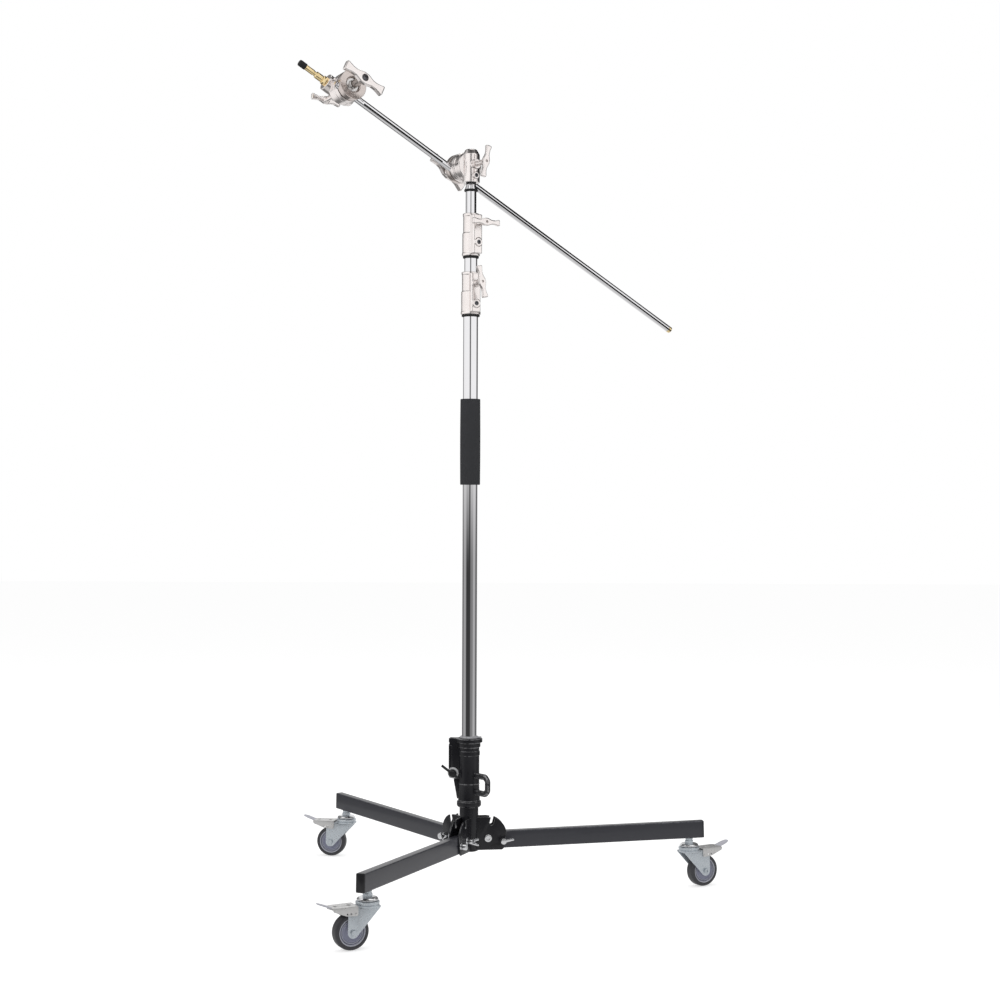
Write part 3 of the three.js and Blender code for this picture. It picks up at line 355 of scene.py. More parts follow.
def mark_edges(mesh, width=1.3):
    """A face attribute that is 1 on the narrow faces of an eased edge, where a finish rubs off first."""
    least_bend, count = 0.12, len(mesh.polygons)
    side, total = np.zeros(len(mesh.loops), int), np.zeros(count, int)
    ends, place = np.zeros(len(mesh.edges) * 2, int), np.zeros(len(mesh.vertices) * 3)
    normal, area = np.zeros(count * 3), np.zeros(count)
    mesh.loops.foreach_get("edge_index", side)
    mesh.polygons.foreach_get("loop_total", total)
    mesh.edges.foreach_get("vertices", ends)
    mesh.vertices.foreach_get("co", place)
    mesh.polygons.foreach_get("normal", normal)
    mesh.polygons.foreach_get("area", area)
    place, ends, normal = place.reshape(-1, 3), ends.reshape(-1, 2), normal.reshape(-1, 3)
    length = np.linalg.norm(place[ends[:, 0]] - place[ends[:, 1]], axis=1)
    owner = np.repeat(np.arange(count), total)
    longest, bend = np.full(count, 1e-9), np.zeros(count)
    np.maximum.at(longest, owner, length[side])
    order = np.argsort(side, kind="stable")
    pair = side[order][1:] == side[order][:-1]
    one, two = owner[order][:-1][pair], owner[order][1:][pair]
    angle = np.arccos(np.clip((normal[one] * normal[two]).sum(1), -1, 1))
    np.maximum.at(bend, one, angle)
    np.maximum.at(bend, two, angle)
    marks = ((area / longest < width * mm) & (bend > least_bend)).astype(np.float32)
    mesh.attributes.new("edge", "FLOAT", "FACE").data.foreach_set("value", marks)


def piece(name, shells, material, body, nodes=(), crease=32):
    """One finished object of closed shells, on its body."""
    mesh = mesh_of(name, shells) if isinstance(shells, list) else shells
    mark_edges(mesh)
    mesh.polygons.foreach_set("use_smooth", np.ones(len(mesh.polygons), bool))
    mesh.set_sharp_from_angle(angle=math.radians(crease))
    mesh.materials.append(material)
    made = add_object(name, mesh)
    if nodes:
        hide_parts(*nodes)
    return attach(made, body)


def node_group(name, inputs, outputs):
    """An empty shader group with its named sockets."""
    tree = bpy.data.node_groups.new(name, "ShaderNodeTree")
    for label, kind, value in inputs:
        socket = tree.interface.new_socket(label, in_out="INPUT", socket_type=kind)
        socket.default_value = value
    for label, kind in outputs:
        tree.interface.new_socket(label, in_out="OUTPUT", socket_type=kind)
    return tree, tree.nodes.new("NodeGroupInput"), tree.nodes.new("NodeGroupOutput")


# colour and roughness that wander with a broad noise, and a fine grain as a height
surface, given, made = node_group(
    "surface_variation",
    [
        ("Colour", "NodeSocketColor", (0.5, 0.5, 0.5, 1)),
        ("Other Colour", "NodeSocketColor", (0.4, 0.4, 0.4, 1)),
        ("Roughness", "NodeSocketFloat", 0.4),
        ("Roughness Spread", "NodeSocketFloat", 0.1),
        ("Patch Scale", "NodeSocketFloat", 20.0),
        ("Grain Scale", "NodeSocketFloat", 900.0),
        ("Stretch", "NodeSocketVector", (1, 1, 1)),
    ],
    [("Colour", "NodeSocketColor"), ("Roughness", "NodeSocketFloat"), ("Height", "NodeSocketFloat")],
)
where = node(surface, "TexCoord", {})
stretch = node(surface, "VectorMath", {0: where.outputs["Object"], 1: given.outputs["Stretch"]},
               operation="MULTIPLY")
patches, grain = [node(surface, "TexNoise", {"Vector": stretch.outputs[0], "Scale": given.outputs[scale],
                                             "Detail": 3}) for scale in ("Patch Scale", "Grain Scale")]
blend = node(surface, "Mix", {"Factor": patches.outputs["Fac"], 6: given.outputs["Colour"],
                              7: given.outputs["Other Colour"]}, data_type="RGBA")
spread = node(surface, "Math", {0: patches.outputs["Fac"], 1: given.outputs["Roughness Spread"],
                                2: given.outputs["Roughness"]}, operation="MULTIPLY_ADD")
feed(surface, made, {"Colour": blend.outputs[2], "Roughness": spread.outputs[0],
                     "Height": grain.outputs["Fac"]})

# 1 where the finish has rubbed off: eased edges, broken up by a noise
rubbing, given, made = node_group(
    "rubbed_edges",
    [("Amount", "NodeSocketFloat", 0.5), ("Scale", "NodeSocketFloat", 120.0)],
    [("Mask", "NodeSocketFloat")],
)
edge = node(rubbing, "Attribute", {}, attribute_name="edge")
where = node(rubbing, "TexCoord", {})
breaks = node(rubbing, "TexNoise", {"Vector": where.outputs["Object"], "Scale": given.outputs["Scale"],
                                    "Detail": 5})
shifted = node(rubbing, "Math", {0: breaks.outputs["Fac"], 1: given.outputs["Amount"]}, operation="ADD")
cut = node(rubbing, "MapRange", {"From Min": 0.92, "From Max": 1.12, "Value": shifted.outputs[0]})
both = node(rubbing, "Math", {0: cut.outputs[0], 1: edge.outputs["Fac"]}, operation="MULTIPLY")
feed(rubbing, made, {"Mask": both.outputs[0]})


def finish(name, colour, other, metallic, roughness, spread, patch, grain, bump,
           stretch=(1, 1, 1), worn=None, rubbed=0.5, coat=0.0, shine=0.5):
    """A finish with wandering colour and gloss, a grain bump metres deep, and worn colour on its edges."""
    material, tree, shader = new_material(name)
    group = node(tree, "Group", {
        "Colour": (*colour, 1), "Other Colour": (*other, 1), "Roughness": roughness,
        "Roughness Spread": spread, "Patch Scale": patch, "Grain Scale": grain, "Stretch": stretch,
    }, node_tree=surface)
    shown = group.outputs["Colour"]
    lift = node(tree, "Bump", {"Distance": bump, "Height": group.outputs["Height"]})
    feed(tree, shader, {
        "Metallic": metallic, "Roughness": group.outputs["Roughness"], "Normal": lift.outputs["Normal"],
        "Coat Weight": coat, "Specular IOR Level": shine,
    })
    if worn is not None:
        mask = node(tree, "Group", {"Amount": rubbed}, node_tree=rubbing).outputs["Mask"]
        shown = node(tree, "Mix", {"Factor": mask, 6: shown, 7: (*worn, 1)}, data_type="RGBA").outputs[2]
        if metallic < 0.5:
            feed(tree, shader, {"Metallic": mask})
    feed(tree, shader, {"Base Color": shown})
    return material


black_paint = finish("black_casting_paint", (0.010, 0.010, 0.013), (0.016, 0.016, 0.020), 0.0, 0.20, 0.14,
                     28, 1100, 4e-6, worn=(0.34, 0.34, 0.35), rubbed=0.54, shine=0.45)

leg_azimuths = {"right": 7.85, "front": -112.15, "back": 127.85}
neck_radius, neck_bore, neck_foot, neck_top = 22.0, 17.0, 100.0, 202.7
plate_inside, plate_outside = 10.5, 13.5
plate_foot, plate_top, plate_root, plate_flat_end = 102.4, 179.4, 12.0, 42.0
plate_toe, plate_heel = (77.0, plate_foot), (81.0, 106.0)
plate_round = (44.5, 136.5, 43.0)
pivot_radius, pivot_height = 43.5, 130.0
pin_reach, pin_angle, fold_angle, slot_half = 35.3, -9.5, 86.0, 4.7
keeper_flange, keeper_neck, keeper_head, keeper_head_foot, keeper_end = 7.0, 4.8, 7.5, 19.5, 28.5


def notched(outline, seat, degrees, half):
    """The outline with a round-bottomed notch, half wide on each side of a ray from the seat."""
    along = np.array([math.cos(math.radians(degrees)), math.sin(math.radians(degrees))])
    across = np.array([-along[1], along[0]])
    hits = []
    for side in (-half, half):
        foot = np.array(seat) + side * across
        a, b = outline, np.roll(outline, -1, 0)
        da, db = (a - foot) @ across, (b - foot) @ across
        share = np.where(da * db < 0, da / np.where(da == db, 1, da - db), np.nan)
        cross = a + share[:, None] * (b - a)
        ahead = np.where(np.nan_to_num((cross - foot) @ along, nan=-1) > 0)[0]
        hits.append((ahead[0], cross[ahead[0]]))
    (k1, first), (k2, second) = hits
    seat_arc = arc(*seat, half, degrees + 270, degrees + 90, 14)
    kept = np.concatenate([outline[k2 + 1:], outline[:k1 + 1]]) if k1 <= k2 else outline[k2 + 1:k1 + 1]
    return np.concatenate([kept, [first], seat_arc, [second]])


hub_outline = np.concatenate([
    [(plate_root, plate_foot), plate_toe, plate_heel],
    arc(*plate_round, 10, 66, 16),
    [(plate_flat_end, plate_top), (plate_root, plate_top)],
])
for slot_angle in (pin_angle, pin_angle + fold_angle):
    slot_seat = (pivot_radius + pin_reach * math.cos(math.radians(slot_angle)),
                 pivot_height + pin_reach * math.sin(math.radians(slot_angle)))
    hub_outline = notched(hub_outline, slot_seat, slot_angle, slot_half)
hub_shells = [ring(neck_bore, neck_radius, neck_foot, neck_top, 1.2)]
keeper_shells = []
pin_x = pivot_radius + pin_reach * math.cos(math.radians(pin_angle))
pin_z = pivot_height + pin_reach * math.sin(math.radians(pin_angle))
for azimuth in leg_azimuths.values():
    plane = turn("z", azimuth)
    hub_shells += [plate([hub_outline], low_y, low_y + 3.0, 0.6, plane)
                   for low_y in (-plate_outside, plate_inside)]
    across = plane @ move(pin_x, 0, pin_z) @ turn("x", -90)
    keeper = opened([
        (0, plate_outside), (keeper_flange, plate_outside), (keeper_flange, plate_outside + 1.5),
        (keeper_neck, plate_outside + 1.5), (keeper_neck, keeper_head_foot), (keeper_head, keeper_head_foot),
        (keeper_head, keeper_end), (2.4, keeper_end), (2.4, keeper_end - 1.2), (0, keeper_end - 1.2),
    ], [0, 0.4, 0.4, 0.6, 0.6, 0.8, 1.2, 0.4, 0, 0])
    keeper_shells.append(turned(keeper, across, steps=40))
piece("hub_casting", hub_shells, black_paint, "base", ["base_hub"])
bright_plate = finish("bright_plate", (0.90, 0.90, 0.91), (0.82, 0.83, 0.85), 1.0, 0.10, 0.12, 300, 1800,
                      6e-7)
piece("pin_keepers", keeper_shells, bright_plate, "base")

# Pivot bolts. Zinc-plated steel: a low round head with a hexagon socket, and a wing nut on a
# washer at the far end, so that a leg can be nipped tight between its plates.
bolt_head, bolt_head_thick, socket_radius = 9.0, 4.0, 4.0
bolt_face = plate_outside + 0.3
washer_end, nut_end, wing_tip, nut_radius = bolt_face + 2.0, bolt_face + 15.0, bolt_face + 30.0, 5.6
wing_outline = both_sides([(washer_end, -nut_radius, 0), (washer_end + nut_radius, -nut_radius, 2.5),
                           (wing_tip, -9.0, 1.8), (wing_tip, -4.5, 1.8), (nut_end, 0, 2.5)])
for side, azimuth in leg_azimuths.items():
    at_pivot = turn("z", azimuth) @ move(pivot_radius, 0, pivot_height)
    along = at_pivot @ turn("x", -90)
    head = opened([
        (0, -bolt_face - bolt_head_thick + 2.5), (socket_radius, -bolt_face - bolt_head_thick + 2.5),
        (socket_radius, -bolt_face - bolt_head_thick), (bolt_head, -bolt_face - bolt_head_thick),
        (bolt_head, -bolt_face), (5, -bolt_face), (5, washer_end), (nut_radius, washer_end),
        (nut_radius, nut_end), (0, nut_end),
    ], [0, 0, 0.3, 2.2, 0.4, 0, 0, 0, 1.5, 0])
    shells = [turned(head, along, steps=48), ring(5.2, bolt_head, bolt_face, washer_end, 0.4, along, 48),
              plate([wing_outline], -2.0, 2.0, 0.7, at_pivot @ turn("z", 90))]
    piece(f"pivot_bolt_{side}_plated", shells, bright_plate, "base", [f"pivot_bolt_{side}"])

# Receiver. A black-painted casting on the hub's neck that takes the column: a bulge at its
# foot, a seam, a raised band, a flange, and two ears with a split that one screw draws shut.
receiver_foot, receiver_bore, receiver_floor = 203.0, 18.0, 211.0
body_radius, bulge_radius, flange_radius, collar_radius = 24.0, 28.5, 31.0, 26.5
bulge_top, seam_height, band_low, band_high, collar_low = 218.0, 256.0, 322.0, 333.0, 341.0
flange_low, receiver_top = 352.0, 362.0
ear_azimuth, ear_reach, ear_half, ear_low, split_half = 170.0, 47.0, 9.0, 268.0, 1.5
clamp_radius, clamp_height = 36.0, 281.0
receiver_profile = opened([
    (0, receiver_foot), (bulge_radius - 2, receiver_foot), (bulge_radius, receiver_foot + 3),
    (bulge_radius, bulge_top - 3), (bulge_radius - 3, bulge_top), (body_radius, seam_height),
    (body_radius + 1, seam_height), (body_radius + 1, seam_height + 1), (body_radius, seam_height + 1.6),
    (body_radius, band_low), (body_radius + 1.2, band_low + 1), (body_radius + 1.2, band_high - 1),
    (body_radius, band_high), (body_radius, collar_low), (collar_radius, collar_low + 1.2),
    (collar_radius, flange_low), (flange_radius, flange_low + 1.2), (flange_radius, receiver_top),
    (receiver_bore, receiver_top), (receiver_bore, receiver_floor), (0, receiver_floor),
], [0, 1.5, 1.5, 1.5, 1.5, 1, 0.4, 0.4, 0.6, 0.8, 0.5, 0.5, 0.8, 1.2, 1, 1, 0.6, 1.2, 0.8, 0, 0])
receiver_turn = turn("z", ear_azimuth)
ear_side = rounded([
    (20, ear_low), (ear_reach, ear_low), (ear_reach, flange_low - 4), (ear_reach - 2, flange_low - 2),
    (ear_reach, flange_low), (ear_reach, receiver_top), (20, receiver_top),
], [0, 6, 1, 1, 1, 1.5, 0])
lip_low, lip_high = ear_low + 24, 345
ear_lip = rounded([(ear_reach - 8, lip_low), (ear_reach, lip_low), (ear_reach, lip_high),
                   (ear_reach - 8, lip_high)], [3, 1, 1, 3])
ear_screw_hole = arc(clamp_radius, clamp_height, 4.4, 360, 0, 24)[:-1]
web_outline = rounded([
    (body_radius - 3, bulge_top), (bulge_radius, bulge_top + 3), (clamp_radius, 262), (clamp_radius, 271),
    (body_radius - 3, 271),
], [0, 3, 3, 0, 0])
receiver_shells = [turned(receiver_profile, steps=96)]
receiver_shells += [plate([ear_side, ear_screw_hole], y0, y0 + ear_half - split_half, 1.2, receiver_turn)
                    for y0 in (-ear_half, split_half)]
receiver_shells += [plate([web_outline], -3, 3, 1.0, receiver_turn),
                    plate([ear_lip], ear_half - 1, ear_half + 0.25, 0.5, receiver_turn)]
piece("receiver_casting", receiver_shells, black_paint, "base", ["receiver"])
# a dark sheet at the root of the ears' split: painted shadow, standing for the shade inside the gap
split_painted_shadow = finish("split_shadow", (0.012, 0.012, 0.013), (0.02, 0.02, 0.02), 0.0, 0.6, 0.1, 60, 900, 1e-5)
shadow_sheet_outline = [(23, 262.5), (25.2, 262.5), (25.2, 361), (23, 361)]
piece("receiver_split_painted_shadow", [plate([shadow_sheet_outline], -split_half + 0.1, split_half - 0.1, 0.2, receiver_turn)],
      split_painted_shadow, "base")

# Bush at the receiver's mouth. A pale nylon ring with a small lug that keeps it from turning.
pale_nylon = finish("pale_nylon", (0.55, 0.55, 0.57), (0.44, 0.44, 0.46), 0.0, 0.38, 0.12, 90, 1400, 1e-5)
bush_lug = rounded([(20, 362.4), (28.5, 362.4), (28.5, 366.4), (20, 366.4)], [0, 1, 1.8, 0])
piece("mouth_bush", [ring(18.0, 22, 362.3, 366.8, [0.4, 0.8, 1.4, 0.8]),
                     plate([bush_lug], -4, 4, 0.8, turn("z", -8))],
      pale_nylon, "base", ["bush_ring"])

# Carrying handle. A cast black D on the receiver's front, its bar oval in section.
handle_azimuth, handle_bar, handle_thick, handle_reach = -50.0, 6.8, 4.8, 68.0
handle_low, handle_high = 238.5, 277.5


def swept(path, section_across, section_up, place, steps=24, power=2.0):
    """A superellipse carried along a path in x and z, half sizes given across it and out of its plane."""
    p = np.array(path, float)
    tangent = np.gradient(p, axis=0)
    tangent /= np.linalg.norm(tangent, axis=1)[:, None]
    side = np.stack([tangent[:, 1], -tangent[:, 0]], -1)
    angle = np.arange(steps) * 2 * math.pi / steps
    c = np.sign(np.cos(angle)) * np.abs(np.cos(angle)) ** (2 / power) * section_across
    s = np.sign(np.sin(angle)) * np.abs(np.sin(angle)) ** (2 / power) * section_up
    x = p[:, :1] + side[:, :1] * c
    z = p[:, 1:] + side[:, 1:] * c
    y = np.repeat(s[None], len(p), 0)
    faces = grid_faces(len(p), steps) + [list(range(steps)), [(len(p) - 1) * steps + k for k in range(steps)]]
    return placed(np.stack([x, y, z], -1).reshape(-1, 3), place), faces


handle_path = opened([
    (body_radius - 3, handle_low), (handle_reach - 9, handle_low), (handle_reach, handle_low + 8),
    (handle_reach, handle_high - 8), (handle_reach - 9, handle_high), (body_radius - 3, handle_high),
], [0, 7, 7, 7, 7, 0], steps=8)
piece("carrying_handle_bar",
      [swept(handle_path, handle_bar, handle_thick, turn("z", handle_azimuth), steps=32, power=3.0)],
      black_paint, "base", ["carry_handle"])

# Column clamp. A chrome washer under the black boss of a T-bar screw that draws the ears together; the washer
# is drawn near-white and barely metallic, a painted reflection of the bright light it mirrors.
at_clamp = receiver_turn @ move(clamp_radius, 0, clamp_height)
clamp_across = at_clamp @ turn("x", -90)
chrome = finish("chrome_plate", (0.88, 0.88, 0.90), (0.82, 0.81, 0.82), 1.0, 0.02, 0.05, 60, 500, 4e-8,
                stretch=(1, 1, 0.02))
# near-white base and little metal: painted reflection, standing in for the bright surroundings that the
# chrome washer mirrors
washer_painted_reflection = finish("washer_painted_reflection", (0.93, 0.93, 0.94), (0.84, 0.85, 0.87), 0.2, 0.22, 0.12, 140, 1700, 1e-6)
piece("clamp_washer_ring", [ring(4.5, 13, 9.3, 11.3, 0.5, clamp_across, 64)], washer_painted_reflection, "base",
      ["clamp_washer"])
black_plastic = finish("black_plastic", (0.012, 0.012, 0.014), (0.020, 0.020, 0.022), 0.0, 0.28, 0.15,
                       80, 1500, 3e-6, worn=(0.09, 0.09, 0.09), rubbed=0.4)
boss = opened([(0, 11.6), (7.5, 11.6), (9.5, 15), (9.5, 20), (7, 25.4), (0, 26)], [0, 1, 2, 3, 2, 0])
nut = opened([(0, -12.3), (6, -12.3), (6, -9.3), (4, -9.3), (4, 12), (0, 12)], [0, 0.6, 0.4, 0, 0, 0])
t_bar = at_clamp @ move(0, 21, 0) @ turn("y", 90 - 36)
piece("clamp_t_screw", [turned(boss, clamp_across), turned(nut, clamp_across, steps=6),
                        rod(3.1, -17, 31, t_bar, 2.2, 32)],
      black_plastic, "clamp_knob_body", ["clamp_knob"])

# Legs. Box-section steel tube, 40 by 20 mm, in dark satin paint, closed by a black plug at the
# end and bored for its pin, bolt and caster stem; each turns on its pivot bolt and is held down
# or up by a pin in the plates' notches.
leg_paint = finish("leg_paint", (0.036, 0.037, 0.046), (0.048, 0.049, 0.060), 0.0, 0.30, 0.14, 12, 1100, 5e-6,
                   worn=(0.16, 0.16, 0.18), rubbed=0.46, coat=0.25)
leg_rise, leg_drop, leg_inner_end, leg_tip, leg_wall = 1.5, 5.5, 13.0, 561.0, 2.0
leg_end = (leg_tip - pivot_radius) / math.cos(math.radians(leg_rise)) - 3.0
leg_half_width, leg_half_height, leg_corner = 10.0, 20.0, 2.6
caster_radius, pin_hole, bolt_hole, stem_hole = 527.0, 4.2, 5.3, 6.6


def box_ring(x, inset):
    """A rounded rectangle in y and z at x, drawn in by inset from the leg's outside."""
    w, h = leg_half_width - inset, leg_half_height - inset
    corners = [(-w, -h), (w, -h), (w, h), (-w, h)]
    around = rounded(corners, max(leg_corner - inset, 0.5), steps=4)
    return np.concatenate([np.full((len(around), 1), x), around - [0, leg_drop]], 1)


def carried(rings, place, closed=False):
    """Rings of equal count joined in turn; open ends are closed by one face each."""
    count = len(rings[0])
    faces = grid_faces(len(rings), count, closed)
    if not closed:
        faces += [list(range(count)), [(len(rings) - 1) * count + k for k in range(count)]]
    return placed(np.concatenate(rings), place), faces


def cut_by(blank, cutters):
    """An object's mesh with closed cutters taken out of it; the object itself is used up."""
    knives = []
    for cutter in cutters:
        knife = add_object("knife", mesh_of("knife", [cutter]))
        cut = blank.modifiers.new("cut", "BOOLEAN")
        cut.operation, cut.solver, cut.object = "DIFFERENCE", "EXACT", knife
        knives.append(knife)
    made = bpy.data.meshes.new_from_object(blank.evaluated_get(bpy.context.evaluated_depsgraph_get()))
    for spent in (blank, *knives):
        bpy.data.objects.remove(spent)
    return made


bright_zinc = finish("bright_zinc", (0.76, 0.81, 0.85), (0.52, 0.57, 0.62), 0.6, 0.20, 0.18, 210, 1500, 4e-6,
                     worn=(0.85, 0.86, 0.88), rubbed=0.4)
pin_x_leg = pin_reach * math.cos(math.radians(pin_angle - leg_rise))
pin_z_leg = pin_reach * math.sin(math.radians(pin_angle - leg_rise))
for side, azimuth in leg_azimuths.items():
    at_leg = turn("z", azimuth) @ move(pivot_radius, 0, pivot_height) @ turn("y", -leg_rise)
    e = 0.5
    wall = [(-leg_inner_end, e), (e - leg_inner_end, 0), (leg_end - e, 0), (leg_end, e), (leg_end, leg_wall),
            (-leg_inner_end, leg_wall)]
    at_pin = at_leg @ move(pin_x_leg, 0, pin_z_leg)
    at_stem = turn("z", azimuth) @ move(caster_radius, 0, 0)
    holes = [rod(pin_hole, -20, 20, at_pin @ turn("x", -90)),
             rod(bolt_hole, -20, 20, at_leg @ turn("x", -90)), rod(stem_hole, 100, 130, at_stem)]
    shell = carried([box_ring(x, inset) for x, inset in wall], at_leg, True)
    tube = add_object("leg", mesh_of("leg", [shell]))
    piece(f"leg_{side}_tube", cut_by(tube, holes), leg_paint, f"leg_{side}_body",
          [f"leg_{side}"])
    plug = [(leg_end - 16, 3.0), (leg_end - 15, 2.3), (leg_end + 0.3, 2.3), (leg_end + 0.3, 0.4),
            (leg_end + 0.7, 0.1), (leg_end + 2.0, 0.1), (leg_end + 2.7, 0.5), (leg_end + 3.0, 1.3)]
    piece(f"leg_{side}_end_plug", [carried([box_ring(x, inset) for x, inset in plug], at_leg)],
          black_plastic, f"leg_{side}_body", [f"leg_plug_{side}"])

    # lock pin: a plated pin with a round head and a flat lever that points out along the leg
    pin = opened([
        (0, -31.8), (6.8, -31.8), (6.8, -22.8), (3.6, -22.8), (3.6, -13.8), (0, -13.8),
    ], [0, 1.6, 0.8, 0.4, 0.8, 0])
    lever = rounded([(0, -3.0), (24.5, -1.7), (24.5, 2.9), (0, 3.4)], [0, 1.6, 2.2, 0])
    piece(f"lock_pin_{side}_plated",
          [turned(pin, at_pin @ turn("x", -90), steps=40),
           plate([lever], -31.6, -28.4, 0.8, at_pin @ turn("y", -8))],
          bright_plate, f"lock_pin_{side}_body", [f"lock_pin_{side}"])

# Casters. Zinc-plated pressed steel: a threaded stem with its nut and domed cup screwed up into
# the leg, and a ball-raced fork that swivels under it on a kingpin.
wheel_radius, trail = 37.5, 38.0
caster_turns = {"right": 29.0, "front": -152.0, "back": 170.0}
fork_inside, fork_outside = 14.0, 16.5
rise = math.tan(math.radians(leg_rise))
under_leg = 130 - 25.5 / math.cos(math.radians(leg_rise)) + (caster_radius - pivot_radius) * rise
cup = opened([
    (0, 85.5), (5, 85.5), (5, 97), (20.5, 97), (22.5, 98.6), (22.3, 101), (19.5, 104), (0, 104.6),
], [0, 0, 0, 1.2, 1.2, 2.0, 3.0, 0])
stem = opened([(0, 104), (7.5, 104), (7.5, under_leg - 2.8), (9, under_leg - 2.8), (9, under_leg - 0.3),
                (6, under_leg - 0.3), (6, under_leg + 25.7), (0, under_leg + 25.7)],
               [0, 0, 0, 0.4, 0.4, 0, 1, 0])
hex_nut = [(0, 101), (10.6, 101), (10.6, 110.8), (9.4, 112), (0, 112)]
dark_steel = finish("dark_steel", (0.10, 0.10, 0.11), (0.16, 0.16, 0.17), 1.0, 0.30, 0.2, 200, 1500, 2e-5)
race = opened([
    (0, 85.6), (24.6, 85.6), (25.0, 88.2), (22.8, 89.4), (22.8, 90.6), (25.0, 91.6), (25.0, 95.0),
    (23.4, 96.5), (0, 96.5),
], [0, 0.8, 0.8, 0.6, 0.6, 1.0, 1.2, 1.0, 0])
eye = (trail, wheel_radius, 12.0)
back_point = np.array([-23.0, 84.0])
slope = math.degrees(math.atan2(back_point[1] - wheel_radius, back_point[0] - trail))
reach = math.hypot(back_point[0] - trail, back_point[1] - wheel_radius)
eye_start = slope + math.degrees(math.acos(eye[2] / reach))
fork_outline = np.concatenate([
    opened([(26, 88), (-23, 88), (-23, 84), (-15, 77)], [0, 2, 3, 0])[:-1],
    arc(*eye, eye_start, 360, 28),
    opened([(50, 45), (49, 73), (26, 88)], [0, 4, 0]),
])
axle_hole = arc(trail, wheel_radius, 4.4, 360, 0, 24)[:-1]
tyre_rubber = finish("tread_rubber", (0.046, 0.046, 0.053), (0.062, 0.062, 0.070), 0.0, 0.36, 0.16, 70, 1300,
                     8e-6)
wheel_plastic = finish("wheel_centre", (0.27, 0.28, 0.38), (0.33, 0.34, 0.44), 0.0, 0.32, 0.12, 60, 1500,
                       2e-6)
wheel_ring = finish("wheel_ring", (0.60, 0.61, 0.68), (0.48, 0.49, 0.56), 0.0, 0.30, 0.12, 60, 1500, 2e-6)
warm_zinc = finish("warm_zinc", (0.80, 0.79, 0.77), (0.62, 0.62, 0.63), 0.55, 0.22, 0.16, 190, 1500, 4e-6,
                   worn=(0.85, 0.85, 0.84), rubbed=0.4)
rubber = finish("black_rubber", (0.012, 0.012, 0.013), (0.02, 0.02, 0.021), 0.0, 0.6, 0.15, 90, 1500, 4e-5)
pedal_tip = finish("pedal_tip", (0.62, 0.62, 0.68), (0.52, 0.52, 0.58), 0.0, 0.42, 0.1, 60, 1400, 2e-5)
flat = turn("x", -90)
